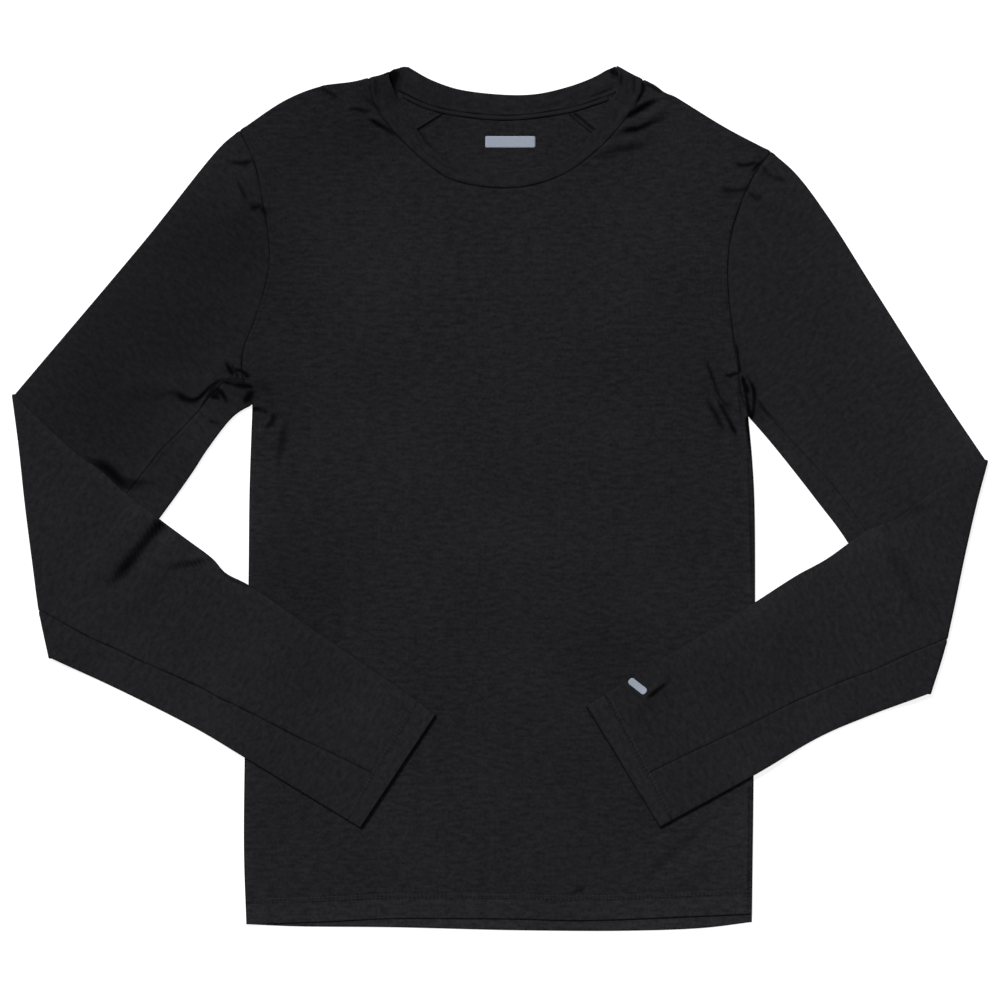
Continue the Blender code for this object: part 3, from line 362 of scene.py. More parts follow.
# Where a seam's painted shade is fainter: a middle, a reach and a factor
fainterSeamShade = [
    (-210.3, 293.6, 6, 0.5), (-206.6, 281.3, 6, 0.3), (-196.4, 255.8, 6, 0.5), (-189.4, 207.5, 20, 0.3),
    (-189.8, 174.7, 20, 0.3), (-197.2, 144.3, 20, 0.35), (221.8, 281.3, 5, 0.4), (-292.3, 23, 16, 0.3),
    (-266.1, 51.7, 16, 0.6), (-130.8, -210.7, 22, 0.6),
]
# Slow unevenness of cloth that lies loose: size across, and height
unevenness = [(84.0, 0.34, 3), (33.0, 0.13, 5), (13.0, 0.04, 8)]


# Rows of points, and paths: functions of 0 to 1
def unit(vectors):
    return vectors / np.linalg.norm(vectors, axis=-1, keepdims=True)


def mix(first, second, share):
    return (1 - share) * first + share * second


def reaches(points):  # how far along a row each of its points is
    return np.concatenate([[0], np.cumsum(np.linalg.norm(np.diff(points, axis=0), axis=1))])


def shares(points):
    reach = reaches(points)
    return reach / reach[-1]


def onRow(points, distance):
    reach = reaches(points)
    return np.stack([np.interp(distance, reach, points[:, axis]) for axis in (0, 1)], axis=-1)


def asPath(at, length):
    at.length = length
    return at


def betweenKnots(knots, times, time):  # a centripetal Catmull-Rom span between the middle two knots
    for order in (1, 2):
        steps = [(time - times[index]) / (times[index + order] - times[index]) for index in range(4 - order)]
        knots = [mix(knots[index], knots[index + 1], step) for index, step in enumerate(steps)]
    return mix(*knots, (time - times[1]) / (times[2] - times[1]))


def curve(rows, spanSteps=24):  # it runs through the rows at an even speed
    knots = np.array(rows, float)
    padded = np.vstack([2 * knots[0] - knots[1], knots, 2 * knots[-1] - knots[-2]])
    spacing = np.sqrt(np.linalg.norm(np.diff(padded, axis=0), axis=1))
    times = np.concatenate([[0], np.cumsum(spacing)])
    dense = []
    for span in range(1, len(padded) - 2):
        time = np.linspace(times[span], times[span + 1], spanSteps, endpoint=False)[:, None]
        dense.append(betweenKnots(padded[span - 1 : span + 3], times[span - 1 : span + 3], time))
    dense = np.vstack(dense + [knots[-1:]])
    length = reaches(dense)[-1]
    return asPath(lambda share: onRow(dense, np.asarray(share, float) * length), length)


def trimmed(path, start, end):
    first, last = start / path.length, 1 - end / path.length
    length = path.length - start - end
    return asPath(lambda share: path(first + (last - first) * np.asarray(share, float)), length)


def beside(path, distance):  # the path moved to the left of its direction
    step = 1.0 / path.length

    def at(share):
        share = np.asarray(share, float)
        ahead = unit(path(np.minimum(share + step, 1)) - path(np.maximum(share - step, 0)))
        return path(share) + distance * np.stack([-ahead[..., 1], ahead[..., 0]], axis=-1)

    return asPath(at, path.length)


def bentTo(path, start, end, fade=1):  # the path with its two ends drawn to the given points
    first, last = start - path(0), end - path(1)

    def at(share):
        share = np.asarray(share, float)[..., None]
        return path(share[..., 0]) + (1 - share) ** fade * first + share**fade * last

    return at


def line(start, end):
    return lambda share: mix(start, end, np.asarray(share, float)[..., None])


def fill(bottom, top, left, right):  # plan points between four rows, from bottom to top
    across = mix(shares(bottom), shares(top), 0.5)[None, :, None]
    along = mix(shares(left), shares(right), 0.5)[:, None, None]
    ruled = mix(bottom[None], top[None], along)
    leftBend, rightBend = left[:, None] - ruled[:, :1], right[:, None] - ruled[:, -1:]
    return ruled + (1 - across) ** 5 * leftBend + across**5 * rightBend


def surface(start, end, nearSide, farSide):  # the filling between four paths
    def at(across, along):
        across, along = np.broadcast_arrays(np.asarray(across, float), np.asarray(along, float))
        x, y = across[..., None], along[..., None]
        ruled = mix(start(across), end(across), y) + mix(nearSide(along), farSide(along), x)
        return ruled - mix(mix(start(0), start(1), x), mix(end(0), end(1), x), y)

    return at


def spread(length, count, startEdge, endEdge, dense=()):
    # shares of a length: close rows at an edge, and closer ones round each dense place
    first = edgeRows[-1] if startEdge else 0.0
    last = length - (edgeRows[-1] if endEdge else 0.0)
    fine = np.linspace(first, last, 4000)
    weight = np.ones_like(fine)
    for place, width, factor in dense:
        weight += factor * np.exp(-(((fine - place) / width) ** 2))
    total = np.concatenate([[0], np.cumsum((weight[1:] + weight[:-1]) / 2)])
    places = np.interp(np.linspace(0, total[-1], count + 1), total, fine)
    if startEdge:
        places = np.concatenate([edgeRows[:-1], places])
    if endEdge:
        places = np.concatenate([places, length - edgeRows[:-1][::-1]])
    return places / length


# Heights of the cloth
def smooth(share):
    share = np.clip(share, 0, 1)
    return share * share * (3 - 2 * share)


def bell(distance, reach):
    return np.exp(-((distance / reach) ** 2))


def foldHeight(points, folds):
    total = np.zeros(points.shape[:-1])
    for x0, y0, x1, y1, width, rise in folds:
        start, along = np.array((x0, y0), float), np.array((x1 - x0, y1 - y0), float)
        share = np.clip((points - start) @ along / (along @ along), 0, 1)
        away = np.linalg.norm(points - start - share[..., None] * along, axis=-1)
        total += rise * bell(away, width)
    return total


def traced(creases):
    rows = []
    for path, *numbers in creases:
        taper = numbers.pop() if len(numbers) > 6 else (0.24, 0.24)
        rows.append((curve(path, 12)(np.linspace(0, 1, 33)), *numbers, taper))
    return rows


def creaseShape(plan, creases):  # the creases' height, and the painted shade in them
    height, shade = np.zeros(plan.shape[:-1]), np.zeros(plan.shape[:-1])
    for number, (spots, rise, highSide, lowSide, trough, reach, dark, taper) in enumerate(creases):
        margin = 2.2 * max(highSide, lowSide, reach) + lowSide
        inside = ((plan > spots.min(axis=0) - margin) & (plan < spots.max(axis=0) + margin)).all(axis=-1)
        if not inside.any():
            continue
        here, steps = plan[inside], np.diff(spots, axis=0)
        offset = here[:, None] - spots[None, :-1]
        part = np.clip((offset * steps).sum(axis=-1) / (steps**2).sum(axis=-1), 0, 1)
        offset = offset - part[..., None] * steps
        away = np.linalg.norm(offset, axis=-1)
        nearest, each = away.argmin(axis=1), np.arange(len(here))
        along = (nearest + part[each, nearest]) / len(steps)
        offset = offset[each, nearest]
        side = np.sign(steps[nearest, 0] * offset[:, 1] - steps[nearest, 1] * offset[:, 0])
        across = side * away[each, nearest]
        faded = smooth(np.minimum(along / taper[0], (1 - along) / taper[1]))
        depth = faded * (1 + 0.15 * np.sin(7.3 * along + 1.7 * number))
        width = reach * (0.35 + 0.65 * depth)
        fromCrest = across - 1.1 * lowSide
        ridge = bell(fromCrest, np.where(fromCrest > 0, highSide, lowSide))
        height[inside] += depth * (rise * ridge - trough * bell(across, width))
        fold = dark * depth**0.7 * np.exp(-(np.abs(across / (1.1 * width)) ** 3))
        shade[inside] = np.maximum(shade[inside], fold)
    return height, np.clip(shade, 0, 1)


# a product of factors round spots; with the tables above it paints light and shade into the cloth's tone
def spotFactors(plan, spots):
    total = np.zeros(plan.shape[:-1])
    for x, y, reach, factor in spots:
        total += np.log(factor) * bell(np.hypot(plan[..., 0] - x, plan[..., 1] - y), reach)
    return np.exp(total)


def looseHeight(points, seed=0):
    total = np.zeros(points.shape[:-1])
    for size, rise, number in unevenness:
        grid = np.random.default_rng(number + seed).uniform(-1, 1, (96, 96))
        spot = points / size + 40
        cell = np.floor(spot).astype(int)
        across, along = np.moveaxis(smooth(spot - cell), -1, 0)
        x, y = np.moveaxis(cell % 95, -1, 0)
        lower = mix(grid[y, x], grid[y, x + 1], across)
        upper = mix(grid[y + 1, x], grid[y + 1, x + 1], across)
        total += rise * mix(lower, upper, along)
    return total


def hemRaise(distance, along, seed):  # a hem's doubled cloth, drawn in and puckered at its stitching
    fromRow = distance - hems["depth"]
    doubled = hems["raise"] * smooth(-(fromRow - 1.5) / 3.0)
    grid = np.random.default_rng(seed).uniform(-1, 1, 400)
    spot = along / hems["puckerLength"] + 150
    cell = np.floor(spot).astype(int) % 398
    wave = mix(grid[cell], grid[cell + 1], smooth(spot - np.floor(spot)))
    pucker = hems["pucker"] * wave * bell(fromRow, hems["puckerReach"])
    return doubled - hems["drawn"] * bell(fromRow, hems["drawnReach"]) + pucker


frontHemPath, backHemPath = (curve(body[name])(np.linspace(0, 1, 400)) for name in ("frontHem", "backHem"))


def aboveHem(plan, path):
    return plan[..., 1] - np.interp(plan[..., 0], path[:, 0], path[:, 1]) + hems["bodyLess"]


def hemDoubled(distance):
    return smooth((hems["depth"] + 2 - distance) / 2)


# painted shade along the hem's stitching
def hemShade(distance):
    return hems["shade"] * bell(distance - hems["depth"] + hems["rowGap"] / 2, hems["shadeReach"])


bodyTraced, forearmTraced, neckShadowTraced = map(traced, (bodyCreases, forearmCreases, neckShadowRows))


def bodyShape(plan):
    height, shade = creaseShape(plan, bodyTraced)
    above = aboveHem(plan, frontHemPath)
    height = height + foldHeight(plan, bodyFolds) + looseHeight(plan)
    return height + hemRaise(above, plan[..., 0], hems["bodyPucker"]), np.maximum(shade, hemShade(above))


def forearmShape(plan):
    height, shade = creaseShape(plan, forearmTraced)
    return height + foldHeight(plan, forearmFolds) + 0.8 * looseHeight(plan, 20), shade


# Meshes
def atHeight(plan, height):
    height = np.broadcast_to(height, plan.shape[:-1])
    return np.concatenate([plan, height[..., None]], axis=-1)


def patch(points, ways, uv, doubled=0.0, shade=0.0, tone=1.0, sewn=1.0):
    values = [np.broadcast_to(value, points.shape[:-1])[..., None] for value in (doubled, shade, tone, sewn)]
    return [points, np.broadcast_to(ways, points.shape), uv, *values]


def fromEdge(points, quads):  # how far each point is from the open edge, and the edge's pairs of points
    directed = np.stack([quads, np.roll(quads, -1, axis=1)], axis=-1).reshape(-1, 2)
    ordered = np.sort(directed, axis=1)
    _, where, counts = np.unique(ordered, axis=0, return_inverse=True, return_counts=True)
    border = directed[counts[where.reshape(-1)] == 1]
    distance = np.full(len(points), 1e3)
    distance[border] = 0
    lengths = np.linalg.norm(points[ordered[:, 0]] - points[ordered[:, 1]], axis=1)
    for _ in edgeRows:
        np.minimum.at(distance, ordered[:, 0], distance[ordered[:, 1]] + lengths)
        np.minimum.at(distance, ordered[:, 1], distance[ordered[:, 0]] + lengths)
    return distance, border


def makeCloth(name, patches, material):
    joined = [np.concatenate([part.reshape(-1, part.shape[-1]) for part in parts]) for parts in zip(*patches)]
    keys = np.round(joined[0] * 1000).astype(np.int64)
    _, first, same = np.unique(keys, axis=0, return_index=True, return_inverse=True)
    points, ways, pointUv, doubled, shade, tone, sewn = (part[first] for part in joined)
    doubled, shade, tone, sewn = (value[:, 0] for value in (doubled, shade, tone, sewn))
    ways = unit(ways)
    corners, start = [], 0
    for rows, columns in (item[0].shape[:2] for item in patches):
        index = start + np.arange(rows * columns).reshape(rows, columns)
        quads = np.stack([index[:-1, :-1], index[:-1, 1:], index[1:, 1:], index[1:, :-1]], axis=-1)
        corners.append(quads.reshape(-1, 4))
        start += rows * columns
    corners = np.concatenate(corners)
    quads = same.reshape(-1)[corners]
    diagonals = np.cross(points[quads[:, 2]] - points[quads[:, 0]], points[quads[:, 3]] - points[quads[:, 1]])
    wrong = (diagonals * ways[quads].sum(axis=1)).sum(axis=1) < 0
    quads[wrong], corners[wrong] = quads[wrong][:, ::-1], corners[wrong][:, ::-1]
    distance, border = fromEdge(points, quads)

    # the seams' dips, the ridges beside them, and painted shade along them
    dip = cloth["seamDip"] * np.clip(1 - distance / cloth["dipReach"], 0, 1) ** 2
    dip = dip + cloth["groove"] * np.clip(1 - distance / cloth["grooveReach"], 0, 1) ** 2
    wobble = 0.75 + 0.5 * np.sin(points[:, 0] * 0.21 + 2 * np.sin(points[:, 1] * 0.13))
    seamShade = (1 - doubled) * sewn * cloth["grooveShade"] * (0.6 + 0.6 * wobble)
    seamShade = seamShade * spotFactors(points, fainterSeamShade) * bell(distance, cloth["grooveReach"])
    shade = np.clip(np.maximum(shade, seamShade), 0, 1)
    ridge = cloth["ridge"] * wobble * bell(distance - cloth["ridgePlace"], cloth["ridgeWidth"])
    middle = points + ways * ((1 - doubled) * (ridge - dip))[:, None]

    # the skin's two faces, round at the edge, and the wall between them
    outerReach = cloth["wall"] / 2
    innerReach = cloth["skin"] - outerReach + cloth["doubled"] * doubled
    half = (outerReach + innerReach) / 2
    half = half * np.maximum(np.sqrt(1 - (1 - np.clip(distance / half, 0, 1)) ** 2), 0.3)
    centre = (outerReach - innerReach) / 2
    vertices = np.concatenate([middle + ways * reach[:, None] for reach in (centre + half, centre - half)])
    vertices[:, 2] = np.maximum(vertices[:, 2], 0)
    count = len(points)
    walls = np.stack([border[:, 1], border[:, 0], border[:, 0] + count, border[:, 1] + count], axis=-1)
    faces = np.concatenate([quads, quads[:, ::-1] + count, walls])
    uv = joined[2][corners]
    faceUv = np.concatenate([uv, uv[:, ::-1], pointUv[walls % count]])
    piece = meshPiece(name, vertices, faces.tolist(), material)
    layer = piece.data.uv_layers.new(name="weave")
    layer.data.foreach_set("uv", (faceUv * mm).reshape(-1).astype(np.float32))
    # shade is painted shade; tone is painted light and shade, and paler where a hem is doubled
    for value, numbers in (("shade", shade), ("tone", tone)):
        layer = piece.data.attributes.new(value, "FLOAT", "POINT")
        layer.data.foreach_set("value", np.tile(numbers, 2).astype(np.float32))
    return piece


def meshPiece(name, vertices, faces, material):
    mesh = bpy.data.meshes.new(name)
    mesh.from_pydata(((vertices + np.array(cloth["shift"])) * mm).tolist(), [], faces)
    mesh.shade_smooth()
    mesh.materials.append(material)
    piece = bpy.data.objects.new(name, mesh)
    bpy.context.collection.objects.link(piece)
    return piece


# Materials
def newMaterial(name):  # two functions: one adds a node, one sets the shader and gives the material
    material = bpy.data.materials.new(name)
    material.use_nodes = True
    nodes, links = material.node_tree.nodes, material.node_tree.links

    def setInputs(node, values):
        for socket, value in values.items():
            if isinstance(value, bpy.types.NodeSocket):
                links.new(value, node.inputs[socket])
            else:
                node.inputs[socket].default_value = value

    def add(kind, values={}, **settings):
        node = nodes.new("ShaderNode" + kind)
        for setting, value in settings.items():
            setattr(node, setting, value)
        setInputs(node, values)
        return node.outputs

    def finish(values):
        setInputs(nodes["Principled BSDF"], values)
        return material

    return add, finish


def sumOf(add, *terms):  # each term is a socket and its factor
    total = None
    for socket, factor in terms:
        part = add("Math", {0: socket, 1: factor}, operation="MULTIPLY")[0]
        total = part if total is None else add("Math", {0: total, 1: part}, operation="ADD")[0]
    return total


def sineOf(add, *terms):
    return add("Math", {0: sumOf(add, *terms)}, operation="SINE")[0]


def noise(add, vector, scale, stretch=(1, 1, 1), detail=2.0):
    mapped = add("Mapping", {"Vector": vector, "Scale": stretch})[0]
    return add("TexNoise", {"Vector": mapped, "Scale": scale, "Detail": detail})[0]


def blended(add, share, first, second):
    return add("Mix", {0: share, 6: first, 7: second}, data_type="RGBA")[2]


def bumped(add, height, strength, distance):
    return add("Bump", {"Height": height, "Strength": strength, "Distance": distance})[0]


def tint(colour, factor):
    return (*(np.array(colour) * factor), 1)


knitLook = {
    "colour": (0.0108, 0.0108, 0.0123),
    "rough": 0.88,
    "specular": 0.04,
    "sheen": 0.012,
    "heather": 0.36,  # how strongly the streaks of paler fibre show
    "streak": (110, 310, 1),
    "fleck": (400, 360, 1),
    "cloud": (11, 14, 1),
    "deepest": 0.03,  # painted shade: how much of its colour the cloth keeps where its painted shade is full
    "wale": 0.00062,  # a column of stitches, in metres
    "course": 0.00048,
    "bump": 0.16,
    "rib": 0.0,
}
sleeveLook = dict(knitLook, streak=(150, 250, 1), fleck=(330, 330, 1), heather=0.29)
bandLook = dict(knitLook, rib=0.0013, bump=0.2, heather=0.3)
tapeLook = dict(knitLook, colour=(0.0118, 0.0118, 0.0135), wale=0.0009, course=0.0009, bump=0.25,
                heather=0.1)


def knitMaterial(name, look):
    add, finish = newMaterial(name)
    vector = add("UVMap", uv_map="weave")[0]
    streaks = noise(add, vector, 1.0, look["streak"], 2.0)
    flecks = noise(add, vector, 1.0, look["fleck"], 1.0)
    clouds = noise(add, vector, 1.0, look["cloud"], 1.0)
    fibre = sumOf(add, (streaks, 0.5), (flecks, 0.35), (clouds, 0.15))
    spanned = add("MapRange", {"Value": fibre, "From Min": 0.36, "From Max": 0.64})[0]
    darkest, palest = (tint(look["colour"], 1 + way * look["heather"]) for way in (-1, 1))
    # painted light and shade: the tone attribute scales the colour
    toneWithPaintedLight = add("Attribute", attribute_name="tone")["Fac"]
    colour = blended(add, spanned, darkest, palest)
    colour = add("VectorMath", {0: colour, "Scale": toneWithPaintedLight}, operation="SCALE")[0]
    # painted shade: the shade attribute darkens the colour in creases, seams, hems and at edges
    folds = add("Attribute", attribute_name="shade")["Fac"]
    colour = blended(add, folds, colour, tint(look["colour"], look["deepest"]))
    (x, y, _), turns = add("SeparateXYZ", {0: vector}), 2 * np.pi
    wale = sineOf(add, (x, turns / look["wale"]))
    course = sineOf(add, (y, turns / look["course"]), (wale, 1.1))
    terms = [(wale, 0.5), (course, 0.3)]
    if look["rib"]:
        terms.append((sineOf(add, (x, turns / look["rib"])), 2.0))
    height = sumOf(add, *terms, (fibre, 3.0))
    return finish({
        "Base Color": colour,
        "Normal": bumped(add, height, look["bump"], 0.00012),
        "Roughness": look["rough"],
        "Specular IOR Level": look["specular"],
        "Sheen Weight": look["sheen"],
        "Sheen Roughness": 0.5,
        "Sheen Tint": (0.75, 0.77, 0.85, 1.0),
    })


def plainMaterial(name, colour, rough, specular, grain, size):
    add, finish = newMaterial(name)
    specks = noise(add, add("TexCoord")["Object"], size)
    return finish({
        "Base Color": blended(add, specks, tint(colour, 1 - grain), tint(colour, 1 + grain)),
        "Normal": bumped(add, specks, 0.1, 0.00005),
        "Roughness": rough,
        "Specular IOR Level": specular,
    })


knit = knitMaterial("fine_black_jersey", knitLook)
sleeveKnit = knitMaterial("fine_black_sleeve_jersey", sleeveLook)
bandKnit = knitMaterial("fine_black_rib", bandLook)
tapeWeave = knitMaterial("black_woven_tape", tapeLook)
# the thread is paler than the knit so its rows read as a light line: painted highlight
thread = plainMaterial("black_thread", (0.024, 0.024, 0.026), 0.75, 0.12, 0.1, 2500.0)
printInk = plainMaterial("pale_print", (0.24, 0.27, 0.33), 0.6, 0.3, 0.08, 700.0)
print("materials made")


# Edges that pieces share
def armhole(side, inward):
    path = curve(sleeves[side]["armhole"])
    return beside(trimmed(path, edge, 0), inward if side == "left" else -inward)


def backNeck(moved):
    return beside(trimmed(curve(neck["backSeam"]), edge, edge), moved)


neckShares = spread(270, body["neckCount"], False, False, [(12, 24, 1.3), (258, 24, 1.3)])


def frontNeckPoints(moved):
    points = beside(trimmed(curve(neck["frontSeam"]), edge, edge), moved)(neckShares)
    points[[0, -1], 1] += np.sign(moved) * abs(cloth["gap"]) / 3
    return points


armLength, seamPlace = armhole("left", 0).length, body["shoulderSeam"]
belowSeam = armLength * (1 - seamPlace)
armUpper = seamPlace * spread(armLength * seamPlace, body["upperArmCount"], True, False, [(24, 18, 1.2)])
armLower = mix(seamPlace, 1, spread(belowSeam, body["lowerArmCount"], False, False, [(belowSeam, 42, 3.0)]))
armShares = np.concatenate([armUpper, armLower[1:]])
backArmShares = mix(seamPlace, 1, spread(belowSeam, body["backArmCount"], False, False, [(0, 34, 5.0)]))
shoulderShares = spread(115, body["shoulderCount"], True, False, [(8, 20, 1.0), (112, 26, 1.4)])


def shoulderEdge(side):  # the fold at the top, from left to right, and the way out of it at each point
    share = shoulderShares if side == "left" else 1 - shoulderShares[::-1]
    folded = beside(curve(body["shoulder"][side]), -edge)(share)
    neckline, arm = frontNeckPoints(-seamGap), armhole(side, seamGap)
    neckline = neckline if side == "left" else neckline[::-1]
    ends = [(arm(0), unit(arm(0) - arm(near))), (neckline[0], unit(neckline[0] - neckline[3]))]
    (first, firstOut), (last, lastOut) = ends if side == "left" else ends[::-1]
    ways = unit(mix(firstOut, lastOut, share[:, None]))
    length, bend = body["shoulderLength"], body["shoulderBend"]
    along = np.linspace(0, length, len(share))[:, None]
    drawn = (first - folded[0]) * np.clip(1 - along / bend, 0, 1) ** 2
    return folded + drawn + (last - folded[-1]) * np.clip(1 - (length - along) / bend, 0, 1) ** 2, ways


def turn(edgePoints, ways, topHeight):  # half round, from the upper ply to the lower one
    rows, out = [], []
    radius = (topHeight - low) / 2
    for angle in np.linspace(0, np.pi, body["turnCount"] + 1):
        reach = (radius * np.sin(angle))[:, None]
        rows.append(atHeight(edgePoints + reach * ways, low + radius + radius * np.cos(angle)))
        out.append(atHeight(np.sin(angle) * ways, np.cos(angle)))
    return np.array(rows), np.array(out)


def shoulderSeam(side, towardNeck):
    arm, neckline = armhole(side, seamGap), backNeck(-seamGap)
    away = body["seamSpare"] if towardNeck else -body["seamSpare"]
    outward = away if side == "left" else -away
    end = neckline(neck["seamMeets"][side] + outward / neckline.length)
    return line(arm(seamPlace + away / arm.length), end)(shoulderShares)


def sideEdge(side, armPart):
    path = curve(body["side"][side])
    seam = path(spread(path.length, body["sideCount"], True, False, [(19, 4, 5.0), (path.length, 42, 3.6)]))
    return np.vstack([seam[:-1], armhole(side, seamGap)(armPart[::-1])])


def hemPoints(name, top):
    below = (top[:, 0] - top[0, 0]) / (top[-1, 0] - top[0, 0])
    return curve(body[name])(mix(shares(top), below, 0.5))


def insideSides(plan):  # how far a point is inside the body's side edges
    edges = []
    for side in sides:
        x, y = zip(*body["side"][side])
        edges.append(np.interp(plan[..., 1], y, x))
    inside = np.minimum(plan[..., 0] - edges[0], edges[1] - plan[..., 0])
    return np.where(plan[..., 1] < body["sideTop"], inside, 1e3)


def sideDroop(plan, amount):
    return amount * (1 - smooth(insideSides(plan) / body["droopReach"]))


def makeFront():
    leftSide, rightSide = (sideEdge(side, armShares) for side in sides)
    (leftEdge, leftOut), (rightEdge, rightOut) = (shoulderEdge(side) for side in sides)
    top = np.vstack([leftEdge[:-1], frontNeckPoints(-seamGap), rightEdge[1:]])
    plan = fill(hemPoints("frontHem", top), top, leftSide, rightSide)
    height, shade = bodyShape(plan)
    height = high + height - sideDroop(plan, body["frontDroop"])
    doubled = hemDoubled(aboveHem(plan, frontHemPath))
    fromSides = insideSides(plan)
    # painted light and shade from spots, painted highlight and painted shade along the sides
    (paler, paleReach), (darker, darkReach) = body["sideHighlight"], body["sideShade"]
    tone = spotFactors(plan, bodyPaintedLight) * (1 + paler * bell(fromSides, paleReach)) * hems["tone"] ** doubled
    shade = np.maximum(shade, darker * bell(fromSides, darkReach))
    patches = [patch(atHeight(plan, height), up, plan, doubled, shade, tone)]
    neckline = backNeck(-seamGap)
    for side, edgePoints, out in (("left", leftEdge, leftOut), ("right", rightEdge, rightOut)):
        isLeft = side == "left"
        heights = height[-1, : len(edgePoints)] if isLeft else height[-1, -len(edgePoints) :]
        rows, ways = turn(edgePoints, out, heights)
        patches.append(patch(rows, ways, rows[..., :2] + np.array((0, 3.0))))
        arm, seam = armhole(side, seamGap)(armUpper), shoulderSeam(side, True)
        spare = body["seamSpare"] / neckline.length
        start, past = (0, spare) if isLeft else (1, -spare)
        stretch = neckline(np.linspace(start, neck["seamMeets"][side] + past, len(arm)))
        arm[-1], stretch[-1], stretch[0] = seam[0], seam[-1], edgePoints[-1 if isLeft else 0]
        under = fill(edgePoints, seam, arm, stretch) if isLeft else fill(edgePoints, seam[::-1], stretch, arm)
        patches.append(patch(atHeight(under, low), -up, under))
    return makeCloth("front_knit", patches, knit)


def makeBack():
    leftSide, rightSide = (sideEdge(side, backArmShares) for side in sides)
    leftSeam, rightSeam = (shoulderSeam(side, False) for side in sides)
    leftSide[-1], rightSide[-1] = leftSeam[0], rightSeam[0]
    rightSide[:40] += (np.array(body["backHem"][-1]) - rightSide[0]) * np.linspace(1, 0, 40)[:, None]
    meets = (neck["seamMeets"][side] for side in sides)
    neckline = backNeck(-seamGap)(np.linspace(*meets, body["backNeckCount"]))
    neckline[0], neckline[-1] = leftSeam[-1], rightSeam[-1]
    top = np.vstack([leftSeam[:-1], neckline, rightSeam[::-1][1:]])
    plan = fill(hemPoints("backHem", top), top, leftSide, rightSide)
    above = aboveHem(plan, backHemPath)
    doubled = hemDoubled(above)
    # painted shade inside the neck and along the hem's edge, and painted shade from spots inside the neck
    darker, darkReach = body["hemShade"]
    shade = np.maximum(creaseShape(plan, neckShadowTraced)[1], darker * bell(above - hems["bodyLess"], darkReach))
    tone = spotFactors(plan, neckInsideShade) * body["backHemTone"] ** doubled
    height = low + sideDroop(plan, body["backDroop"])
    return makeCloth("back_knit", [patch(atHeight(plan, height), -up, plan, doubled, shade, tone)], knit)


def grid(along, across):
    return np.stack(np.broadcast_arrays(along, across), axis=-1)


def makeNeckband():
    wide = neck["bandWidth"]
    across = np.concatenate([edgeRows[:-1], neck["bandMiddle"], wide - edgeRows[-2::-1]])[:, None]
    width = across[..., None] / wide
    seamFront = frontNeckPoints(seamGap)
    edgeFront = trimmed(curve(neck["frontEdge"]), edge, edge)(neckShares)
    edgePath = trimmed(curve(neck["backEdge"]), edge, edge)
    backs = []
    for path, meets, front in ((backNeck(seamGap), neck["seamMeets"], seamFront),
                               (edgePath, neck["edgeMeets"], edgeFront)):
        left, right = meets["left"], meets["right"]
        first = np.linspace(0, left, 19)
        if path is edgePath:
            first = np.concatenate([np.linspace(0, neck["peak"], 7), np.linspace(neck["peak"], left, 13)[1:]])
        last = 1 - (1 - right) * np.linspace(1, 0, 19) ** neck["tipCrowding"]
        points = path(np.concatenate([first[:-1], np.linspace(left, right, 49), last[1:]]))
        points[0], points[-1] = front[0], front[-1]
        backs.append(points)
    front, back = mix(seamFront, edgeFront, width), mix(*backs, width)
    heights, shade = creaseShape(front, bodyTraced)
    heights = heights + high + foldHeight(front, bodyFolds + bandFolds) + 0.4 * looseHeight(front, 3)
    start, more = neck["bandDoubled"]
    doubled = smooth((across - start) / more)
    reach = reaches(seamFront)
    tone = spotFactors(front, bodyPaintedLight)
    patches = [patch(atHeight(front, heights), up, grid(reach, across), doubled, shade, tone)]
    tips = ((shoulderEdge("left")[1][-1:], 0, 0.0), (shoulderEdge("right")[1][:1], -1, reach[-1]))
    for out, column, start in tips:
        rows, ways = turn(front[:, column], out, heights[:, column])
        uv = grid(start - np.linspace(0, neck["bandTurn"], len(rows))[:, None], across[:, 0])
        patches.append(patch(rows, ways, uv, doubled[:, 0], creaseShape(rows[..., :2], neckShadowTraced)[1]))
    uv = grid(-neck["bandTurn"] - reaches(backs[0]), across)
    shade, tone = creaseShape(back, neckShadowTraced)[1], spotFactors(back, neckInsideShade)
    patches.append(patch(atHeight(back, low), -up, uv, doubled, shade, tone))
    return makeCloth("neckband_rib", patches, bandKnit)


def makeTape():
    share, wide, rows = np.linspace(*neck["tapeSpan"], 91), neck["tapeWidth"], edgeRows[:5]
    upper, lower = backNeck(0)(share), backNeck(-wide)(share)
    across = np.concatenate([rows, [wide / 2], wide - rows[::-1]])[:, None]
    plan = mix(lower, upper, across[..., None] / wide)
    uv = grid(shares(upper) * neck["tapeLength"], across)
    shade, tone = creaseShape(plan, neckShadowTraced)[1], spotFactors(plan, neckInsideShade)
    points = atHeight(plan, neck["tapeHeight"])
    return makeCloth("neck_tape_weave", [patch(points, up, uv, 0.0, shade, tone)], tapeWeave)


def supportHeight(side, plan):  # how high a forearm is held by the body and the upper sleeve
    sign = -1 if side == "left" else 1
    offBody = sign * (plan[..., 0] - sleeves[side]["bodyEdge"])
    start, end = np.array(sleeves[side]["inner"])[[1, -1]]
    along, offset = unit(end - start), plan - start
    offSleeve = -sign * (along[0] * offset[..., 1] - along[1] * offset[..., 0])
    away = np.minimum(np.maximum(offBody, 0), np.maximum(offSleeve, 0))
    return lift * (1 - smooth((away - sleeves["drapeStart"]) / sleeves["drapeLength"]))


def seamShare(side, ply, place):
    return float(np.interp(place, sleeves["places"], sleeves[side][ply]))


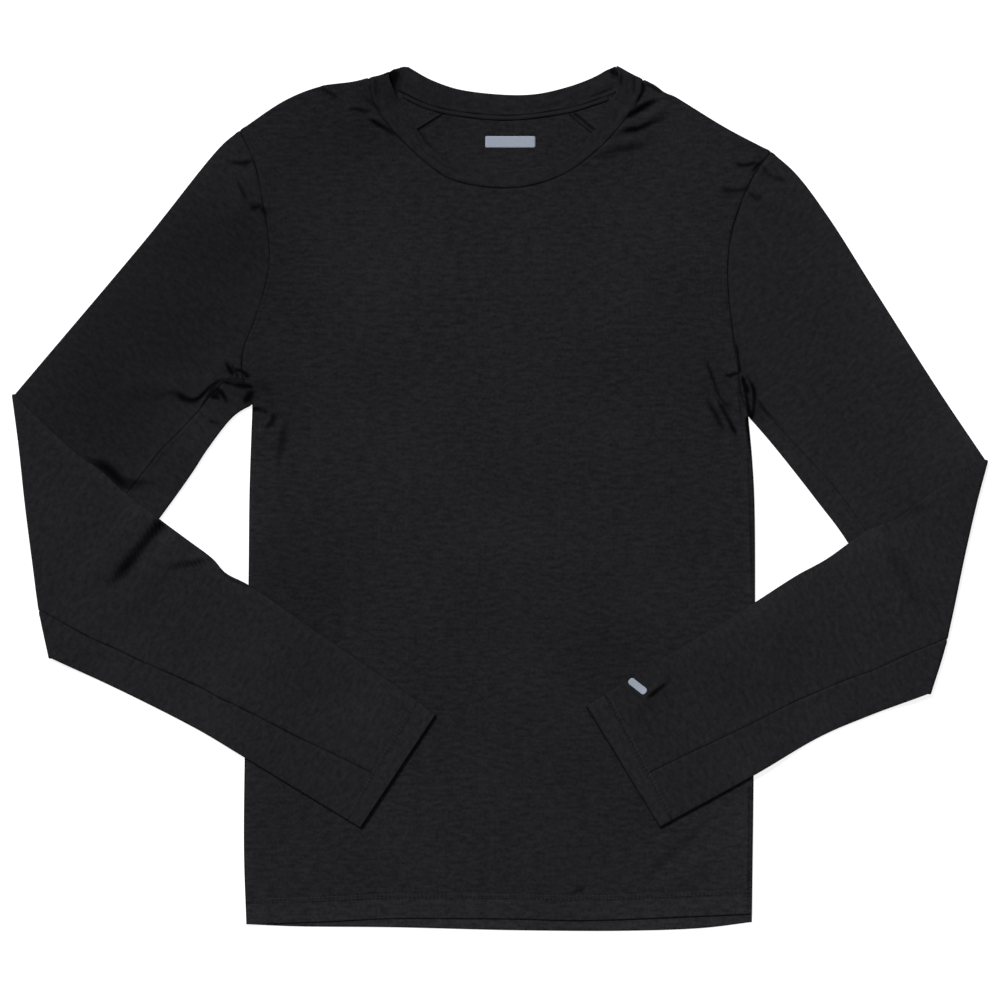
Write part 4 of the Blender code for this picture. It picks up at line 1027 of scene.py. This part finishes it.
def sleevePlans(side):
    rows = sleeves[side]
    sign = 1 if side == "left" else -1
    outer, lower = (beside(curve(rows[name]), sign * edge) for name in ("outer", "lower"))
    inner, upper = (beside(curve(rows[name]), -sign * edge) for name in ("inner", "upper"))
    foldWay = unit(inner(1) - outer(1))
    out = -sign * np.array((-foldWay[1], foldWay[0]))
    axisStart, axisEnd = outer(1) - out * turnHeight, inner(1) - out * turnHeight
    armSeam = armhole(side, -seamGap)

    def arm(share):  # it stops short at the underarm
        return armSeam(np.minimum(share, 1 - edge / armSeam.length))

    axis, cuff = bentTo(curve(rows["fold"]), axisStart, axisEnd), line(upper(1), lower(1))
    upperBent, lowerBent = bentTo(upper, axisStart, upper(1), 9), bentTo(lower, axisEnd, lower(1), 3)
    return {
        "upper": surface(arm, axis, bentTo(outer, arm(0), axisStart), bentTo(inner, arm(1), axisEnd)),
        "forearm": surface(axis, cuff, upperBent, lowerBent),
        "out": out,
        "corner": outer(1),
        "fold": foldWay,
        "grain": unit(outer(1) - outer(0)),
        "upperLength": outer.length,
        "forearmLength": upper.length,
    }


def sharePerMm(side, ply, place, plan, along):  # of the ring, square to a sleeve seam
    before, after = max(along - near, 0), min(along + near, 1)
    start = plan(seamShare(side, ply, place + before - along), before)
    end = plan(seamShare(side, ply, place + after - along), after)
    seamWay, share = unit(end - start), seamShare(side, ply, place)
    ring = (plan(share + near, along) - plan(share - near, along)) / (2 * near)
    return 1 / abs(seamWay[0] * ring[1] - seamWay[1] * ring[0])


def ringShares(side, which, place, plan, along):  # front ply, edge, back ply, and how far each has turned
    isOver = which == "over"
    rows = (edgeRows[:-1] + seamGap) * (-1 if isOver else 1)
    end = 0.0 if isOver else 1.0
    between = np.linspace(0, 1, sleeves[which + "Count"] + 1)[1:-1]
    if isOver:  # closer together at the seam and at the edge
        between = between - 0.1 * np.sin(2 * np.pi * between)
    plies = []
    for ply in ("front", "back"):
        fromSeam = seamShare(side, ply, place) + rows * sharePerMm(side, ply, place, plan, along)
        plies.append(np.append(fromSeam, mix(fromSeam[-1], end, between)))
    front, back = plies[0], plies[1][::-1]
    turned = np.linspace(0, np.pi, sleeves["edgeCount"] + 1)
    share = np.concatenate([front, np.full(len(turned), end), back])
    return share, np.concatenate([np.zeros(len(front)), turned, np.full(len(back), np.pi)]), end


def sleeveRing(side, which, place, angle, plans):
    part = "upper" if place <= 1 and angle < np.pi else "forearm"
    plan, length = plans[part], plans[part + "Length"]
    along = place if part == "upper" else place - 1
    share, turned, end = ringShares(side, which, place, plan, along)
    towardsEnd = np.append(unit(plan(end, along) - plan(abs(end - near), along)), 0)
    away = np.append(plans["out"], 0)
    radius = cloth["ply"] / 2
    height = low + radius * (1 + np.cos(turned))
    spots = atHeight(plan(share, along), 0.0) + (radius * np.sin(turned))[:, None] * towardsEnd
    spots = spots + away * ((turnHeight - height) * np.sin(angle))[:, None]
    spots[:, 2] = turnHeight - (turnHeight - height) * np.cos(angle)
    acrossCloth = up * np.cos(angle) - away * np.sin(angle)
    ways = np.sin(turned)[:, None] * towardsEnd + np.cos(turned)[:, None] * acrossCloth

    upness = (1 + np.cos(turned)) / 2
    settled = smooth((1 - along if part == "upper" else along) * length / sleeves["settling"])
    ringWidth = np.linalg.norm(plan(1.0, along) - plan(0.0, along))
    shade, tone = np.zeros(len(share)), np.ones(len(share))
    if angle == 0:
        detail, shade = bodyShape(spots[:, :2])
        spots[:, 2] += upness * settled * detail
        shade, tone = upness * settled * shade, spotFactors(spots[:, :2], bodyPaintedLight)
    if angle == np.pi:
        look, fromCuff = sleeves[side], (1 - along) * length
        detail, shade = forearmShape(spots[:, :2])
        detail = detail * settled + hemRaise(fromCuff, share * ringWidth, look["pucker"])
        spots[:, 2] += (1 - upness) * detail + supportHeight(side, spots[:, :2]) - lift
        # painted shade at the cuff's stitching and its edge
        cuffShade = max(hemShade(fromCuff), sleeves["cuffShade"] * bell(fromCuff, look["cuffReach"]))
        shade = (1 - upness) * np.maximum(shade * settled, cuffShade)
        tone = spotFactors(spots[:, :2], forearmPaintedLight)
    # painted highlight along the outer edge, and painted shade where the cloth turns over
    if which == "over":
        paler, paleReach = sleeves["edgeHighlight"]
        tone = tone * (1 + paler * bell(share * ringWidth, paleReach))
    shade = np.maximum(shade, sleeves["edgeShade"] * np.sin(turned) ** 2)
    sewn = sleeves[side]["seamShade"]
    if place <= 1:
        sewn = mix(1, sleeves["upperSeamShade"], smooth(place * length / sleeves["armholeReach"]))
    doubled = hemDoubled((2 - place) * length) if place > 1 else 0.0

    flat = plan(share, along) - plans["corner"]  # where it lay before the sleeve was folded
    if part == "forearm":
        flat = 2 * (flat @ plans["fold"])[:, None] * plans["fold"] - flat
    grain = plans["grain"]
    across = np.where(turned > np.pi / 2, -1, 1) * (grain[0] * flat[:, 1] - grain[1] * flat[:, 0])
    uv = np.stack([across, flat @ grain], axis=-1)
    return patch(spots, ways, uv, doubled, shade, tone * sleeves["cuffTone"] ** doubled, sewn)


def makeSleeve(side, which, name):
    plans = sleevePlans(side)
    upperPlaces = spread(plans["upperLength"], sleeves["upperCount"], True, False, [(30, 45, 1.4)])
    atStitches = [(plans["forearmLength"] - hems["depth"], 5, 3.0)]
    forearmPlaces = spread(plans["forearmLength"], sleeves["forearmCount"], False, True, atStitches)
    stations = [(place, 0.0) for place in upperPlaces]
    stations += [(1.0, angle) for angle in np.linspace(0, np.pi, sleeves["elbowCount"] + 1)[1:-1]]
    stations += [(1 + place, np.pi) for place in forearmPlaces]
    rings = [sleeveRing(side, which, place, angle, plans) for place, angle in stations]
    return makeCloth(name, [[np.array(part) for part in zip(*rings)]], sleeveKnit)


# Stitching: one small thread, repeated along the rows that it pulls in
stitch = {
    "length": 2.7,
    "pitch": 3.3,
    "radius": 0.23,
    "sides": 5,
    # places along it, each with its share of the thickness and its rise
    "sections": [(-0.5, 0.45, -0.1), (-0.28, 1.0, 0.03), (0.28, 1.0, 0.03), (0.5, 0.45, -0.1)],
}


def makeStitches(name, rows):
    places, ways, outs = (np.concatenate(part)[:, None, None] for part in zip(*rows))
    along, thick, rise = np.array(stitch["sections"]).T[:, :, None, None]
    count = stitch["sides"]
    angles = (2 * np.pi * np.arange(count) / count)[:, None]
    rings = stitch["radius"] * thick * (np.cos(angles) * np.cross(outs, ways) + np.sin(angles) * outs)
    vertices = (places + along * stitch["length"] * ways + rise * outs + rings).reshape(-1, 3)
    one, last = [], (len(along) - 1) * count
    for start in range(0, last, count):
        for here in range(count):
            follow = (here + 1) % count
            one.append((start + here, start + follow, start + count + follow, start + count + here))
    one += [range(count)[::-1], range(last, last + count)]
    bases = range(0, len(vertices), last + count)
    faces = [[base + corner for corner in face] for base in bases for face in one]
    return meshPiece(name, vertices, faces, thread)


def rowOnCloth(path, heightAt, outZ=1.0):  # stitches along a plan path, on the cloth
    pitch = stitch["pitch"]
    where = np.arange(pitch, reaches(path)[-1] - pitch / 2, pitch)
    plan, ahead = onRow(path, where), onRow(path, where + 0.5)
    points = atHeight(plan, heightAt(plan))
    ways = unit(atHeight(ahead, heightAt(ahead)) - points)
    outs = np.broadcast_to(up * outZ, ways.shape)
    return points, ways, unit(outs - (outs * ways).sum(axis=1)[:, None] * ways)


def level(height):
    return lambda plan: np.full(plan.shape[:-1], height)


def topOfForearm(side):
    return lambda plan: 2 * turnHeight + forearmShape(plan)[0] + supportHeight(side, plan) - lift


def topOfBody(plan):
    return high + low + bodyShape(plan)[0]


stitchDepths = (hems["depth"] - hems["rowGap"] / 2, hems["depth"] + hems["rowGap"] / 2)


def hemStitches():
    rows, (first, last) = [], hems["span"]
    for depth in stitchDepths:
        for path, heightAt, outZ in ((frontHemPath, topOfBody, 1.0),
                                     (backHemPath, level(hems["under"]), -1.0)):
            shifted = path + np.array((0, depth - hems["bodyLess"]))
            shifted = shifted[(shifted[:, 0] > first) & (shifted[:, 0] < last)]
            rows.append(rowOnCloth(shifted, heightAt, outZ))
    return makeStitches("hem_stitches", rows)


def cuffStitches(side):
    top, plans = topOfForearm(side), sleevePlans(side)
    share, rows = np.linspace(0.02, 0.98, 120), []
    for depth in stitchDepths:
        path = plans["forearm"](share, 1 - depth / plans["forearmLength"])

        def heightAt(plan):
            across = np.linalg.norm(plan - path[0], axis=-1)
            return top(plan) + hemRaise(depth, across, sleeves[side]["pucker"])

        rows.append(rowOnCloth(path, heightAt))
    return makeStitches("cuff_stitches_" + side, rows)


# Plain prints, left without words: one inside the back neck and one at the right wrist
prints = {
    "neck": {"centre": (8.9, 291.9), "size": (41.0, 9.4), "turn": 0.0, "corner": 1.2, "height": 0.82},
    "wrist": {"centre": (113.0, -154.0), "size": (17.0, 6.0), "turn": -38.0, "corner": 2.4},
    "thick": 0.12,  # above the cloth's top, and as much below it
    "cells": (32, 12),
}


def makePrint(name, look, heightAt):  # a thin slab with rounded corners, laid on the cloth
    bpy.ops.object.select_all(action="DESELECT")
    columns, rows = prints["cells"]
    bpy.ops.mesh.primitive_grid_add(x_subdivisions=columns, y_subdivisions=rows, size=1, calc_uvs=False)
    piece = bpy.context.object
    piece.name = piece.data.name = name
    wall = piece.modifiers.new("wall", "SOLIDIFY")
    wall.thickness, wall.offset = 2, 0
    bpy.ops.object.modifier_apply(modifier=wall.name)
    spots = np.array([vertex.co for vertex in piece.data.vertices])
    plan = spots[:, :2] * look["size"]
    core = np.array(look["size"]) / 2 - look["corner"]
    over = np.abs(plan) - core
    inCorner = (over > 0).all(axis=1)
    square = over[inCorner]
    over[inCorner] = square * (square.max(axis=1) / np.linalg.norm(square, axis=1))[:, None]
    plan[inCorner] = (np.sign(plan) * (core + over))[inCorner]
    cos, sin = np.cos(np.radians(look["turn"])), np.sin(np.radians(look["turn"]))
    plan = plan @ np.array(((cos, sin), (-sin, cos))) + look["centre"]
    points = atHeight(plan, heightAt(plan) + prints["thick"] * spots[:, 2]) + np.array(cloth["shift"])
    piece.data.vertices.foreach_set("co", (points * mm).reshape(-1))
    piece.data.update()
    piece.data.shade_smooth()
    piece.data.materials.append(printInk)
    return piece


frontKnit, backKnit = makeFront(), makeBack()
bandRib, tape = makeNeckband(), makeTape()
print("body, neckband and tape made")
sleevePieces = {}
for side in sides:
    for node, which in (("sleeve_" + side, "over"), ("under_sleeve_" + side, "under")):
        sleevePieces[node] = makeSleeve(side, which, node + "_knit")
print("sleeves made")
hemRows = hemStitches()
cuffRows = {side: cuffStitches(side) for side in sides}
neckPrint = makePrint("neck_print", prints["neck"], level(prints["neck"]["height"]))
wristPrint = makePrint("wrist_print", prints["wrist"], topOfForearm("right"))
print("stitching and prints made")

# What rides, what it stands for, and how it was cut
riding = [(frontKnit, "front", "knit"), (backKnit, "back", "knit"), (bandRib, "neckband", "knit_band"),
          (tape, "neck_tape", "tape")]
riding += [(piece, node, "knit") for node, piece in sleevePieces.items()]
for piece, node, slotName in riding:
    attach(piece, "root")
    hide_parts(node)
for piece in (hemRows, *cuffRows.values(), neckPrint, wristPrint):
    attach(piece, "root")

# A pale floor, soft light from all round and a stronger one from the upper left
lights = {"dome": 0.3, "key": 4.16, "keyAngle": 16.0, "keyFrom": (-0.5, 0.72, 0.78), "floorGlow": 0.8}
bpy.ops.object.select_all(action="DESELECT")
bpy.ops.mesh.primitive_plane_add(size=8, location=(0, 0, -0.0001), calc_uvs=False)
bpy.ops.object.transform_apply(location=True, rotation=False, scale=False)
floor = bpy.context.object
floor.name = floor.data.name = "floor"
_, finishFloor = newMaterial("pale_floor")
floor.data.materials.append(finishFloor({
    "Base Color": (0.4, 0.4, 0.4, 1),
    "Roughness": 1.0,
    "Specular IOR Level": 0.0,
    "Emission Color": (1, 1, 1, 1),
    "Emission Strength": lights["floorGlow"],
}))

world = bpy.data.worlds.new("soft_dome")
bpy.context.scene.world = world
world.use_nodes = True
background = world.node_tree.nodes["Background"].inputs
background["Color"].default_value = (1, 1, 1, 1)
background["Strength"].default_value = lights["dome"]
keyData = bpy.data.lights.new("key", "SUN")
keyData.energy = lights["key"]
keyData.angle = np.radians(lights["keyAngle"])
key = bpy.data.objects.new("key", keyData)
key.rotation_euler = Vector(lights["keyFrom"]).to_track_quat("Z", "Y").to_euler()
bpy.context.collection.objects.link(key)

# The camera looks straight down at the middle of the frame
view = {"height": 2.5, "width": 0.82, "centre": (0.00005, -0.00117)}
cameraData = bpy.data.cameras.new("camera")
cameraData.sensor_width = 36.0
cameraData.lens = 36.0 * view["height"] / view["width"]
camera = bpy.data.objects.new("camera", cameraData)
camera.location = (*view["centre"], view["height"])
bpy.context.collection.objects.link(camera)
bpy.context.scene.camera = camera
bpy.context.scene.view_settings.view_transform = "Standard"

print("floor, light and camera set")
